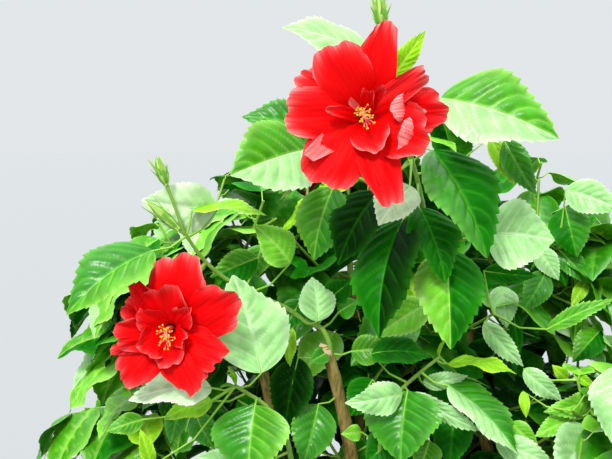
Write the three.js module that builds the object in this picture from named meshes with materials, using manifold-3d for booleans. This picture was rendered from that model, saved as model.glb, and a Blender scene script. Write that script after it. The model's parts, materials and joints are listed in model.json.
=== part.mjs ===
// Double red hibiscus shrub, rooted in level ground, in millimetres with +Z up.
// The origin is the middle of the flat cut under the trunk, and the front of the shrub is -Y.
// One short trunk carries six stems, the stems carry boughs, and each limb ends in one spray of foliage.
import * as THREE from 'three';
import { mergeVertices } from 'three/addons/utils/BufferGeometryUtils.js';
import Module from 'manifold-3d';

const wasm = await Module();
wasm.setup();

const GAP = 0.3; // clearance between two neighbouring pieces
const SHORTEST_EDGE = 0.06;
const MERGE = 1e-4; // vertices closer than this are one
const ON_AXIS = 1e-3; // a unit ring's vertex nearer to its axis than this is the middle of a cap
const LEAST_CROSSING = 0.2; // shared volume from which two leaves count as crossing

// Trunk: a short leaning butt with five shallow ribs that run out into its root flare.
const TRUNK = {
  height: 215, footRadius: 33, neckRadius: 21, topRadius: 16, flareHeight: 60,
  leanX: 10, leanY: -8, ribs: 5, ribDepth: 0.09, sides: 15, steps: 7,
};

// Crown: an egg that every spray of foliage stays inside.
const CROWN = { radius: 400, widest: 720, top: 1385, bottom: 300, roundness: 2.3 };

// Limbs: each leaves its parent at a fraction of the parent's length and is one tapering limb.
const LIMB = { curveOut: 0.34, curveIn: 0.36 };
const STEM = { foot: 11.5, tip: 5.4, sides: 7, steps: 7 };
const BOUGH = { foot: 6.6, tip: 3.8, sides: 5, steps: 5 };

// Foliage: a spray is one green leader with twigs, and a leaf is broad and pointed on a short stalk.
const SHOOT = {
  sides: 4, foot: 3.7, tip: 2.4, steps: 3, start: GAP + 0.1, straight: 20, reach: 45, flowerReach: -15,
  lift: 25, bendAt: 0.55, bend: 10, tipLeaves: 4, tipSpacing: 12,
};
const TWIG = {
  sides: 3, foot: 2.1, tip: 1.9, steps: 1, perSpray: 5, length: 125, rise: 0.12, spread: 69,
  first: 0.12, last: 0.86, shortest: 0.85, lengthSpread: 0.3, turnSpread: 40, bareShare: 0.25,
  clear: 22,
};
const OUTWARD_RISE = 25; // rise of the way that a spray faces, in degrees
const FITS = [1, 0.9, 0.8, 0.7, 0.6, 0.5, 0.4]; // shares of its length that a shoot is tried at
const LEAF = {
  length: 118, width: 86, stalk: 14, stalkRadius: 0.65, stalkDeep: 1.1, keel: 2.6,
  widestAt: 0.38, arch: 0.08, spacing: 15, fromTip: 2.5, tries: 20, tryTurn: 75,
  turnSpread: 90,
};
// How rule-grown leaves are carried: shares of the twig's way and of outwards, the stalk's slope and
// lift, the droop and its spread in degrees, the smallest leaf and the spread of sizes, and the
// spreads of bearing and of roll.
const CARRIAGE = {
  twigShare: 0.5, outShare: 0.6, stalkSlope: 0.6, stalkLift: 10, slopeShare: 0.4, droop: 42,
  droopSpread: 46, smallest: 0.82, sizeSpread: 0.3, bearingSpread: 24, rollSpread: 50,
};
const GOLDEN_ANGLE = 137.5;

// Bloom: a funnel of petals round a staminal column, on a stalk with a green calyx.
const BLOOM = {
  throat: 26, room: 40, petalThick: 3, notch: 0.66, stalkRadius: 1.7, calyxRadius: 7.5, calyxLength: 24,
  calyxShares: [0.4, 1, 0.75], columnReach: 40, columnFoot: 4, columnTip: 2.6,
  ruledRise: 8, ruledLift: 15, ruledStep: 4, rootAt: 0.9, turnEach: 70,
};
const BUD = { radius: 8.5, length: 30, stalkRadius: 1.3, profile: [0.49, 1, 0.84, 0.24] };

// Finishes
const bark = new THREE.MeshStandardMaterial({ color: 0x8f7350, roughness: 0.9, metalness: 0 });
const foliage = new THREE.MeshStandardMaterial({ color: 0x3c8f2a, roughness: 0.4, metalness: 0 });
const petals = new THREE.MeshStandardMaterial({ color: 0xd3091c, roughness: 0.55, metalness: 0 });

const shrub = new THREE.Group();
const vector = (x, y, z) => new THREE.Vector3(x, y, z);
const along = (point, direction, distance) => point.clone().addScaledVector(direction, distance);

// Unit vector at a compass bearing, counted from +X towards +Y, and a rise above level, in degrees.
function pointing(bearing, rise) {
  const turn = THREE.MathUtils.degToRad(bearing);
  const lift = THREE.MathUtils.degToRad(rise);
  return vector(Math.cos(lift) * Math.cos(turn), Math.cos(lift) * Math.sin(turn), Math.sin(lift));
}

// A repeatable run of numbers from 0 to 1.
function seeded(seed) {
  let state = (seed * 2654435761 + 12345) % 4294967296;
  return () => {
    state = (1664525 * state + 1013904223) % 4294967296;
    return state / 4294967296;
  };
}

// Solids
function solidOf(geometry) {
  geometry.deleteAttribute('normal');
  geometry.deleteAttribute('uv');
  const closed = mergeVertices(geometry, MERGE);
  return new wasm.Manifold(new wasm.Mesh({
    numProp: 3,
    vertProperties: Float32Array.from(closed.attributes.position.array),
    triVerts: Uint32Array.from(closed.index.array),
  }));
}

// The biggest piece of a solid, without sealed hollows, loose scraps or edges too short to keep.
function wholeOf(solid) {
  return solid.decompose().sort((a, b) => b.volume() - a.volume())[0].simplify(SHORTEST_EDGE);
}

function addPiece(name, solid, material) {
  const mesh = solid.getMesh();
  const geometry = new THREE.BufferGeometry();
  geometry.setAttribute('position', new THREE.BufferAttribute(mesh.vertProperties, 3));
  geometry.setIndex(new THREE.BufferAttribute(mesh.triVerts, 1));
  geometry.computeVertexNormals();
  const piece = new THREE.Mesh(geometry, material);
  piece.name = name;
  shrub.add(piece);
}

// A round limb along a curve: radiusAt gives its radius at a fraction of its length and a turn about it.
function limbGeometry(curve, radiusAt, sides, steps) {
  const geometry = new THREE.CylinderGeometry(1, 1, 1, sides, steps);
  const frames = curve.computeFrenetFrames(steps, false);
  const place = geometry.attributes.position;
  for (let i = 0; i < place.count; i += 1) {
    const ring = Math.round((place.getY(i) + 0.5) * steps);
    const radius = radiusAt(ring / steps, Math.atan2(place.getZ(i), place.getX(i)));
    const point = curve.getPointAt(ring / steps)
      .addScaledVector(frames.binormals[ring], place.getX(i) * radius)
      .addScaledVector(frames.normals[ring], place.getZ(i) * radius);
    place.setXYZ(i, point.x, point.y, point.z);
  }
  return geometry;
}

function taperedSolid(curve, foot, tip, sides, steps, extra = 0) {
  const radiusAt = (fraction) => foot + (tip - foot) * fraction + extra;
  return solidOf(limbGeometry(curve, radiusAt, sides, steps));
}

// The room a shoot needs: its own shape, a little thicker and longer.
function swollenShoot(line, foot, tip, steps) {
  const longer = line.clone();
  longer.points[longer.points.length - 1].addScaledVector(line.getTangentAt(1), 2 * GAP);
  return taperedSolid(longer, foot, tip, SHOOT.sides, steps, 3 * GAP);
}

// Clearance tests
function boxesNear(a, b) {
  const first = a.boundingBox();
  const second = b.boundingBox();
  return [0, 1, 2].every((k) => first.min[k] < second.max[k] + GAP && second.min[k] < first.max[k] + GAP);
}

function touchesAny(solid, others) {
  return others.some((other) => boxesNear(solid, other) && solid.minGap(other, 2 * GAP) < GAP);
}

function crossesAny(solid, others) {
  return others.some((other) => boxesNear(solid, other) && solid.intersect(other).volume() > LEAST_CROSSING);
}

// Trunk
function trunkRadius(fraction, turn) {
  const height = fraction * TRUNK.height;
  const flare = (TRUNK.footRadius - TRUNK.neckRadius) * Math.exp(-3 * height / TRUNK.flareHeight);
  const body = TRUNK.neckRadius + (TRUNK.topRadius - TRUNK.neckRadius) * fraction;
  const rib = 1 + TRUNK.ribDepth * Math.exp(-2 * height / TRUNK.flareHeight) * Math.cos(TRUNK.ribs * turn);
  return (body + flare) * rib;
}
const trunkLine = new THREE.CubicBezierCurve3(
  vector(0, 0, 0), vector(0, 0, TRUNK.height * 0.35),
  vector(TRUNK.leanX * 0.6, TRUNK.leanY * 0.6, TRUNK.height * 0.7),
  vector(TRUNK.leanX, TRUNK.leanY, TRUNK.height),
);
const swollenTrunkLine = trunkLine.clone();
swollenTrunkLine.v3.z += GAP;
const trunkSolid = (line, extra) => solidOf(limbGeometry(
  line, (fraction, turn) => trunkRadius(fraction, turn) + extra, TRUNK.sides, TRUNK.steps));

const limbs = {
  trunk: { line: trunkLine, solid: trunkSolid(trunkLine, 0), swollen: trunkSolid(swollenTrunkLine, GAP) },
};
addPiece('trunk', limbs.trunk.solid, bark);

// A limb from a fraction of its parent's length to its tip, ending in a given direction.
// It starts on the parent's middle line and is cut back to lie clear of the parent's bark.
function growLimb({ name, from, at, tip, leaves, ends, form }) {
  const foot = limbs[from].line.getPointAt(at);
  const span = foot.distanceTo(tip);
  const line = new THREE.CubicBezierCurve3(
    foot, along(foot, leaves, span * LIMB.curveOut), along(tip, ends, -span * LIMB.curveIn), tip);
  const solid = (extra) => taperedSolid(line, form.foot, form.tip, form.sides, form.steps, extra);
  limbs[name] = {
    line, tip, ends, solid: wholeOf(solid(0).subtract(limbs[from].swollen)), swollen: solid(GAP),
  };
  addPiece(name, limbs[name].solid, bark);
}

// Stems: bearing and rise as they leave the trunk, then the tip and the way it points.
const STEMS = [
  { name: 'stem_left', at: 0.50, leave: [250, 42], tip: [-57, -77, 1068], end: [205, 72] },
  { name: 'stem_right', at: 0.60, leave: [352, 40], tip: [68, -6, 1070], end: [205, 68] },
  { name: 'stem_back', at: 0.55, leave: [105, 48], tip: [-25, 78, 1090], end: [110, 74] },
  { name: 'stem_back_left', at: 0.80, leave: [178, 42], tip: [-128, 12, 1050], end: [170, 72] },
  { name: 'stem_back_right', at: 0.90, leave: [48, 50], tip: [108, 72, 1065], end: [40, 72] },
  { name: 'stem_front', at: 0.86, leave: [305, 42], tip: [150, -92, 880], end: [330, 62] },
];
for (const { name, at, leave, tip, end } of STEMS) {
  growLimb({
    name, from: 'trunk', at, tip: vector(...tip), leaves: pointing(...leave), ends: pointing(...end),
    form: STEM,
  });
}

// Sprays that grow by rule: bearing, distance out and height of the middle of the space each one fills.
// A spray with a bough has one of its own, which leaves the named stem at a fraction of its length.
const SPRAYS = [
  { name: 'top_back_spray', bearing: 108, out: 110, height: 1190, limb: 'stem_back', bloom: true },
  { name: 'top_left_spray', bearing: 178, out: 185, height: 1130, limb: 'stem_back_left' },
  { name: 'top_right_spray', bearing: 30, out: 180, height: 1140, limb: 'stem_back_right' },
  { name: 'upper_front_right_spray', bearing: 328, out: 255, height: 955, limb: 'stem_front' },
  { name: 'upper_right_spray', bearing: 28, out: 265, height: 930, bough: ['stem_back_right', 0.62] },
  { name: 'upper_back_spray', bearing: 88, out: 265, height: 950, bough: ['stem_back', 0.58], bloom: true },
  { name: 'upper_left_spray', bearing: 150, out: 270, height: 930, bough: ['stem_back_left', 0.6] },
  { name: 'middle_right_spray', bearing: 0, out: 290, height: 720, bough: ['stem_right', 0.36], bloom: true },
  { name: 'middle_back_right_spray', bearing: 58, out: 290, height: 740, bough: ['stem_back_right', 0.38] },
  { name: 'middle_back_left_spray', bearing: 120, out: 290, height: 720, bough: ['stem_back', 0.36] },
  { name: 'middle_left_spray', bearing: 182, out: 290, height: 740, bough: ['stem_back_left', 0.38],
    bloom: true },
  { name: 'middle_front_left_spray', bearing: 238, out: 285, height: 800, bough: ['stem_left', 0.46] },
  { name: 'middle_front_spray', bearing: 292, out: 285, height: 770, bough: ['stem_front', 0.42] },
  { name: 'low_right_spray', bearing: 28, out: 225, height: 520, bough: ['stem_back_right', 0.17] },
  { name: 'low_back_spray', bearing: 100, out: 225, height: 510, bough: ['stem_back', 0.17] },
  { name: 'low_left_spray', bearing: 205, out: 225, height: 530, bough: ['stem_left', 0.17] },
  { name: 'low_front_spray', bearing: 300, out: 225, height: 520, bough: ['stem_front', 0.17] },
];
// Sprays that the photograph shows leaf by leaf: the limb that carries each, and the middle of its space.
const SHOWN_SPRAYS = {
  upper_flowering_spray: { limb: 'stem_right', middle: [5, -115, 1225] },
  left_flowering_spray: { limb: 'stem_left', middle: [-140, -120, 1150] },
  near_left_leafy_spray: {
    middle: [-135, -150, 1035],
    bough: { from: 'stem_left', at: 0.74, leave: [260, 35], tip: [-86, -124, 970], end: [180, 82] },
  },
  near_middle_leafy_spray: {
    middle: [30, -130, 1040],
    bough: { from: 'stem_left', at: 0.66, leave: [300, 40], tip: [-14, -108, 962], end: [30, 82] },
  },
};
const SEAT = { inward: 80, below: 75 }; // a rule-grown spray is seated this far in from and below its middle
for (const [name, spray] of Object.entries(SHOWN_SPRAYS)) {
  if (spray.bough) {
    const { from, at, leave, tip, end } = spray.bough;
    spray.limb = name.replace('leafy_spray', 'bough');
    growLimb({
      name: spray.limb, from, at, tip: vector(...tip), leaves: pointing(...leave), ends: pointing(...end),
      form: BOUGH,
    });
  }
}
for (const spray of SPRAYS) {
  if (spray.bough) {
    const [from, at] = spray.bough;
    spray.limb = spray.name.replace('spray', 'bough');
    const seat = pointing(spray.bearing, 0).multiplyScalar(spray.out - SEAT.inward);
    growLimb({
      name: spray.limb, from, at, tip: seat.setZ(spray.height - SEAT.below),
      leaves: pointing(spray.bearing, 25), ends: pointing(spray.bearing, 58), form: BOUGH,
    });
  }
  spray.middle = pointing(spray.bearing, 0).multiplyScalar(spray.out).setZ(spray.height);
}
const middles = [
  ...SPRAYS.map((spray) => spray.middle),
  ...Object.values(SHOWN_SPRAYS).map((spray) => vector(...spray.middle)),
];

// The space of a rule-grown spray: the points of the crown nearer to its middle than to any other's.
function inCrown(point, clear) {
  const reach = point.z > CROWN.widest ? CROWN.top - CROWN.widest : CROWN.widest - CROWN.bottom;
  const height = Math.abs(point.z - CROWN.widest) / (reach - clear);
  return height < 1 && Math.hypot(point.x, point.y) < CROWN.radius * (1 - height ** CROWN.roundness) - clear;
}

function inSpace(point, middle, clear = GAP) {
  return inCrown(point, clear) && middles.every((other) => {
    if (other.equals(middle)) return true;
    const across = other.clone().sub(middle);
    const halfway = across.length() / 2;
    return point.clone().sub(middle).dot(across.normalize()) < halfway - clear;
  });
}

function geometryInSpace(geometry, middle) {
  const place = geometry.attributes.position;
  for (let i = 0; i < place.count; i += 1) {
    if (!inSpace(vector(place.getX(i), place.getY(i), place.getZ(i)), middle)) return false;
  }
  return true;
}

// One leaf: a flattened three-sided cone. Its foot is the stalk, sunk in the twig, its middle ring is
// the blade's widest place, flat above and keeled below by the midrib, and its point is the leaf tip.
function leafGeometry({ root, base, bearing, rise, roll, length, width }) {
  const forward = pointing(bearing, rise);
  const level = pointing(bearing + 90, 0);
  const raised = forward.clone().cross(level);
  const lean = THREE.MathUtils.degToRad(roll);
  const side = level.clone().multiplyScalar(Math.cos(lean)).addScaledVector(raised, Math.sin(lean));
  const face = raised.clone().multiplyScalar(Math.cos(lean)).addScaledVector(level, -Math.sin(lean));
  const widest = along(along(base, forward, length * LEAF.widestAt), face, length * LEAF.arch);
  const rings = [
    { middle: along(root, face, LEAF.stalkDeep * 0.4), across: LEAF.stalkRadius, deep: LEAF.stalkDeep },
    { middle: widest, across: width / 2, deep: LEAF.keel },
    { middle: along(base, forward, length), across: 0, deep: 0 },
  ];
  return bladeGeometry(rings, side, () => face);
}

// A closed three-sided blade through rings of a middle, a half width across and a depth of keel.
function bladeGeometry(rings, side, faceAt) {
  const steps = rings.length - 1;
  const pointed = rings[steps].across === 0;
  const geometry = new THREE.CylinderGeometry(pointed ? 0 : 1, 1, 1, 3, steps);
  const place = geometry.attributes.position;
  for (let i = 0; i < place.count; i += 1) {
    const index = Math.round((place.getY(i) + 0.5) * steps);
    const { middle, across, deep } = rings[index];
    const onRim = Math.hypot(place.getX(i), place.getZ(i)) > ON_AXIS;
    const isKeel = onRim && place.getZ(i) > ON_AXIS;
    const point = middle.clone()
      .addScaledVector(side, isKeel || !onRim ? 0 : Math.sign(place.getX(i)) * across)
      .addScaledVector(faceAt(index), isKeel ? -deep : 0);
    place.setXYZ(i, point.x, point.y, point.z);
  }
  return geometry;
}

// A leaf on a shoot: stalk and blade are each a length, a bearing and a rise.
function leafOn(line, at, { stalk, blade, width, roll }) {
  const reach = line.getLength();
  const root = line.getPointAt(Math.min(at, reach - LEAF.fromTip) / reach);
  const [stalkLength, stalkBearing, stalkRise] = stalk;
  const [length, bearing, rise] = blade;
  const base = along(root, pointing(stalkBearing, stalkRise), stalkLength);
  return leafGeometry({ root, base, bearing, rise, roll, length, width });
}

// Flowers
// Each petal runs forward out of the throat and then outwards: clock is its bearing round the bloom,
// in degrees from the right-hand side, and lift is how far its tip stands forward of the throat.
const UPPER_PETALS = [
  { clock: 5, reach: 62, lift: 6 }, { clock: 38, reach: 58, lift: 14 }, { clock: 76, reach: 67, lift: 6 },
  { clock: 113, reach: 60, lift: 12 }, { clock: 150, reach: 62, lift: 0 }, { clock: 184, reach: 58, lift: 8 },
  { clock: 231, reach: 60, lift: 12 }, { clock: 284, reach: 66, lift: 14 }, { clock: 333, reach: 52, lift: 16 },
];
const LEFT_PETALS = [
  { clock: 28, reach: 64, lift: 4 }, { clock: 80, reach: 70, lift: 4 }, { clock: 114, reach: 54, lift: 8 },
  { clock: 146, reach: 46, lift: 6 }, { clock: 178, reach: 42, lift: 14 }, { clock: 224, reach: 50, lift: 12 },
  { clock: 285, reach: 46, lift: 16 }, { clock: 343, reach: 48, lift: 12 },
];

// The petals as one closed funnel whose rim runs from each petal's tip back to the notch beside it.
function petalSolid(calyx, facing, right, up, rows, spin) {
  const rim = rows.flatMap((row, index) => {
    const next = rows[(index + 1) % rows.length];
    const step = (next.clock - row.clock + 360) % 360;
    const notch = {
      clock: row.clock + step / 2, lift: (row.lift + next.lift) / 3,
      reach: BLOOM.notch * (row.reach + next.reach) / 2,
    };
    return [row, notch];
  });
  // Share of the reach, share of the lift, and depth forward of the calyx, from the back to the throat.
  const section = [
    [0, 0, -2], [0.42, 0.2, BLOOM.throat - 6], [1, 1, BLOOM.throat],
    [0.42, 0.2, BLOOM.throat - 6 + BLOOM.petalThick], [0, 0, 6],
  ];
  const profile = section.map(([out], index) => new THREE.Vector2(out, index));
  const geometry = new THREE.LatheGeometry(profile, rim.length);
  const place = geometry.attributes.position;
  for (let i = 0; i < place.count; i += 1) {
    const [out, rise, depth] = section[Math.round(place.getY(i))];
    const sector = Math.floor(i / section.length) % rim.length;
    const { clock, reach, lift } = rim[sector];
    const turn = THREE.MathUtils.degToRad(clock + spin);
    const point = along(calyx, facing, depth + rise * lift)
      .addScaledVector(right, out * reach * Math.cos(turn)).addScaledVector(up, out * reach * Math.sin(turn));
    place.setXYZ(i, point.x, point.y, point.z);
  }
  return solidOf(geometry);
}

function bloomSolid({ centre, bearing, rise, spin = 0, rows, root }) {
  const facing = pointing(bearing, rise);
  const right = pointing(bearing + 90, 0);
  const up = facing.clone().cross(right);
  const calyx = along(centre, facing, -BLOOM.throat);
  const back = along(calyx, facing, -BLOOM.calyxLength);
  const stalkLine = new THREE.CatmullRomCurve3([
    root, root.clone().lerp(back, 0.5).add(vector(0, 0, 4)), back, along(calyx, facing, 2)]);
  const stalk = taperedSolid(stalkLine, BLOOM.stalkRadius, BLOOM.stalkRadius + 0.6, 3, 3);
  const cup = new THREE.CatmullRomCurve3([back, along(calyx, facing, 4)]);
  const cupRadius = (fraction) => BLOOM.calyxRadius * BLOOM.calyxShares[Math.round(fraction * 2)];
  const calyxSolid = solidOf(limbGeometry(cup, cupRadius, 5, 2));
  const column = new THREE.CatmullRomCurve3([along(calyx, facing, 1), along(calyx, facing, BLOOM.columnReach)]);
  return wasm.Manifold.union([
    stalk, calyxSolid, taperedSolid(column, BLOOM.columnFoot, BLOOM.columnTip, 4, 1),
    petalSolid(calyx, facing, right, up, rows, spin)]);
}

// A closed bud on its stalk, fused to its shoot.
function budSolid(root, tip) {
  const way = tip.clone().sub(root).normalize();
  const heart = along(tip, way, -BUD.length);
  const stalkLine = new THREE.CatmullRomCurve3([root, along(heart, way, 4)]);
  const bodyLine = new THREE.CatmullRomCurve3([heart, tip]);
  const bodyRadius = (fraction) => BUD.radius * BUD.profile[Math.round(fraction * 3)];
  const body = solidOf(limbGeometry(bodyLine, bodyRadius, 5, 3));
  return taperedSolid(stalkLine, BUD.stalkRadius, BUD.stalkRadius, 3, 1).add(body);
}

const blockers = Object.values(limbs).map((limb) => limb.solid);

// The shown sprays. Every shoot starts on its limb's tip, and twigs start on the shoot.
function shootFrom(limb, points) {
  const { tip, ends } = limbs[limb];
  return new THREE.CatmullRomCurve3([
    along(tip, ends, SHOOT.start), along(tip, ends, SHOOT.straight + 2),
    ...points.map((point) => vector(...point))]);
}
const upperShoot = shootFrom('stem_right', [
  [42, -60, 1124], [30, -93, 1172], [19, -113, 1212], [7, -125, 1250], [-4, -127, 1293], [-13, -127, 1324]]);
const upperLeftTwig = new THREE.CatmullRomCurve3(
  [[21, -110, 1203], [-9, -106, 1212], [-43, -108, 1228], [-66, -114, 1244]].map((p) => vector(...p)));
const upperRightTwig = new THREE.CatmullRomCurve3(
  [[32, -89, 1165], [52, -99, 1168], [74, -108, 1174]].map((p) => vector(...p)));
const leftShoot = shootFrom('stem_left', [
  [-66, -86, 1099], [-80, -92, 1122], [-106, -103, 1142], [-134, -117, 1146], [-158, -125, 1162],
  [-173, -132, 1186]]);
const nearLeftShoot = shootFrom('near_left_bough', [
  [-94, -125, 1010], [-109, -128, 1033], [-122, -132, 1044], [-134, -135, 1053]]);
const nearMiddleShoot = shootFrom('near_middle_bough', [
  [-7, -104, 1000], [5, -103, 1034], [25, -96, 1051], [44, -88, 1063]]);

const SHOWN_SHOOTS = {
  upper_flowering_spray: [
    [upperShoot, SHOOT.foot, SHOOT.tip, 8], [upperLeftTwig, TWIG.foot, TWIG.tip, 3],
    [upperRightTwig, TWIG.foot, TWIG.tip, 2]],
  left_flowering_spray: [[leftShoot, SHOOT.foot, SHOOT.tip, 7]],
  near_left_leafy_spray: [[nearLeftShoot, SHOOT.foot, SHOOT.tip, 4]],
  near_middle_leafy_spray: [[nearMiddleShoot, SHOOT.foot, SHOOT.tip, 4]],
};
const shootSolids = (name) => SHOWN_SHOOTS[name].map(
  ([line, foot, tip, steps]) => taperedSolid(line, foot, tip, SHOOT.sides, steps));
const swollenShoots = (name) => wasm.Manifold.union(SHOWN_SHOOTS[name].map((shoot) => swollenShoot(...shoot)));

// The two open blooms of the view, each on the shoot that bears it.
const upperBloom = wholeOf(bloomSolid({
  centre: vector(-34, -200, 1273), bearing: 265, rise: 2, rows: UPPER_PETALS, root: upperShoot.getPointAt(0.78),
}).subtract(swollenShoots('upper_flowering_spray')));
const leftBloom = wholeOf(bloomSolid({
  centre: vector(-182, -168, 1106), bearing: 268, rise: 0, rows: LEFT_PETALS, root: leftShoot.getPointAt(0.83),
}).subtract(swollenShoots('left_flowering_spray')));
addPiece('upper_bloom', upperBloom, petals);
addPiece('left_bloom', leftBloom, petals);
blockers.push(upperBloom, leftBloom);

// Leaves of the view: where each stands along its shoot, then stalk and blade as length, bearing and
// rise, the blade's width, and its roll about the midrib.
const SHOWN_LEAVES = {
  upper_flowering_spray: [
    { on: upperShoot, at: 325, stalk: [18, 110, -5], blade: [84, 200, 17], width: 55, roll: -40 },
    { on: upperShoot, at: 310, stalk: [6, 285, 0], blade: [46, 30, 48], width: 30, roll: 5 },
    { on: upperShoot, at: 281, stalk: [37, 323, 8], blade: [93, 337, -19], width: 61, roll: 45 },
    { on: upperShoot, at: 246, stalk: [27, 313, 0], blade: [94, 315, -57], width: 62, roll: 35 },
    { on: upperShoot, at: 225, stalk: [22, 253, -20], blade: [44, 217, -42], width: 36, roll: -30 },
    { on: upperShoot, at: 195, stalk: [33, 209, -24], blade: [99, 240, -64], width: 65, roll: 15 },
    { on: upperShoot, at: 203, stalk: [11, 266, -30], blade: [66, 302, -60], width: 43, roll: 10 },
    { on: upperLeftTwig, at: 98, stalk: [14, 218, 8], blade: [76, 217, -14], width: 61, roll: -55 },
    { on: upperLeftTwig, at: 100, stalk: [26, 89, 45], blade: [66, 183, 12], width: 44, roll: -50 },
    { on: upperLeftTwig, at: 44, stalk: [23, 271, -12], blade: [69, 208, -56], width: 45, roll: -30 },
    { on: upperLeftTwig, at: 75, stalk: [20, 235, -50], blade: [63, 192, -75], width: 44, roll: -55 },
    { on: upperRightTwig, at: 46, stalk: [10, 306, -20], blade: [55, 349, -4], width: 61, roll: 60 },
    { on: upperRightTwig, at: 26, stalk: [21, 250, -10], blade: [83, 267, -61], width: 55, roll: -15 },
  ],
  left_flowering_spray: [
    { on: leftShoot, at: 210, stalk: [33, 215, -30], blade: [82, 211, -32], width: 54, roll: -25 },
    { on: leftShoot, at: 205, stalk: [12, 150, 45], blade: [44, 214, 17], width: 40, roll: -70 },
    { on: leftShoot, at: 195, stalk: [16, 25, 65], blade: [62, 350, -3], width: 42, roll: 5 },
    { on: leftShoot, at: 110, stalk: [24, 80, 50], blade: [50, 193, -8], width: 36, roll: -60 },
    { on: leftShoot, at: 40, stalk: [10, 288, -3], blade: [41, 102, 60], width: 34, roll: 10 },
  ],
  near_left_leafy_spray: [
    { on: nearLeftShoot, at: 100, stalk: [32, 318, 35], blade: [77, 120, 54], width: 58, roll: -5 },
    { on: nearLeftShoot, at: 82, stalk: [13, 277, -12], blade: [58, 261, -61], width: 66, roll: 10 },
    { on: nearLeftShoot, at: 102, stalk: [21, 192, 18], blade: [67, 198, -3], width: 44, roll: -20 },
    { on: nearLeftShoot, at: 92, stalk: [34, 160, -20], blade: [42, 198, -16], width: 28, roll: -25 },
  ],
  near_middle_leafy_spray: [
    { on: nearMiddleShoot, at: 80, stalk: [16, 275, 22], blade: [60, 255, -56], width: 66, roll: 15 },
    { on: nearMiddleShoot, at: 91, stalk: [36, 158, 40], blade: [52, 354, -2], width: 36, roll: 25 },
    { on: nearMiddleShoot, at: 106, stalk: [26, 314, -34], blade: [78, 329, -38], width: 51, roll: 10 },
    { on: nearMiddleShoot, at: 124, stalk: [11, 357, -18], blade: [59, 340, -3], width: 38, roll: 0 },
  ],
};
const SHOWN_BUDS = {
  upper_flowering_spray: [
    { root: upperShoot.getPointAt(1), tip: vector(-19, -129, 1368) },
    { root: upperLeftTwig.getPointAt(0.9), tip: vector(-98, -98, 1208) },
  ],
  left_flowering_spray: [
    { root: leftShoot.getPointAt(1), tip: vector(-196, -138, 1246) },
    { root: leftShoot.getPointAt(0.98), tip: vector(-202, -128, 1222) },
  ],
  near_left_leafy_spray: [],
  near_middle_leafy_spray: [],
};
// A leaf that would touch a neighbour swings aside by the first of these rises and rolls that clears it.
const NUDGES = [
  [0, 0], [8, 0], [-8, 0], [0, 14], [0, -14], [10, 14], [-10, -14], [18, 0], [-18, 0], [0, 25], [0, -25]];
function nudgedLeaf(row) {
  for (const [rise, roll] of NUDGES) {
    const blade = [row.blade[0], row.blade[1], row.blade[2] + rise];
    const solid = solidOf(leafOn(row.on, row.at, { ...row, blade, roll: row.roll + roll }));
    if (!touchesAny(solid, blockers)) return solid;
  }
  return null;
}
for (const name of Object.keys(SHOWN_SPRAYS)) {
  const leaves = SHOWN_LEAVES[name].map(nudgedLeaf).filter(Boolean);
  const buds = SHOWN_BUDS[name].map(({ root, tip }) => budSolid(root, tip));
  const spray = wholeOf(wasm.Manifold.union([...shootSolids(name), ...leaves, ...buds]));
  blockers.push(spray);
  addPiece(name, spray, foliage);
}

// Rule-grown sprays: one leader from the limb's tip, twigs round it by the golden angle, and leaves
// round each twig by the same angle, every one reaching outwards and hanging a little.
function ruledLeaf(twigWay, outward, turn, draw) {
  const around = outward.clone().cross(twigWay).normalize();
  const across = twigWay.clone().cross(around);
  const way = twigWay.clone().multiplyScalar(CARRIAGE.twigShare)
    .addScaledVector(around, Math.cos(turn)).addScaledVector(across, -Math.sin(turn))
    .addScaledVector(outward, CARRIAGE.outShare);
  const bearing = THREE.MathUtils.radToDeg(Math.atan2(way.y, way.x));
  const slope = THREE.MathUtils.radToDeg(Math.asin(way.z / way.length()));
  const size = CARRIAGE.smallest + CARRIAGE.sizeSpread * draw();
  const aside = CARRIAGE.bearingSpread * (draw() - 0.5);
  const rise = CARRIAGE.slopeShare * slope - CARRIAGE.droop + CARRIAGE.droopSpread * (draw() - 0.5);
  return {
    stalk: [LEAF.stalk * size, bearing, slope * CARRIAGE.stalkSlope + CARRIAGE.stalkLift],
    blade: [LEAF.length * size, bearing + aside, rise],
    width: LEAF.width * size, roll: CARRIAGE.rollSpread * (draw() - 0.5),
  };
}

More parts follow.
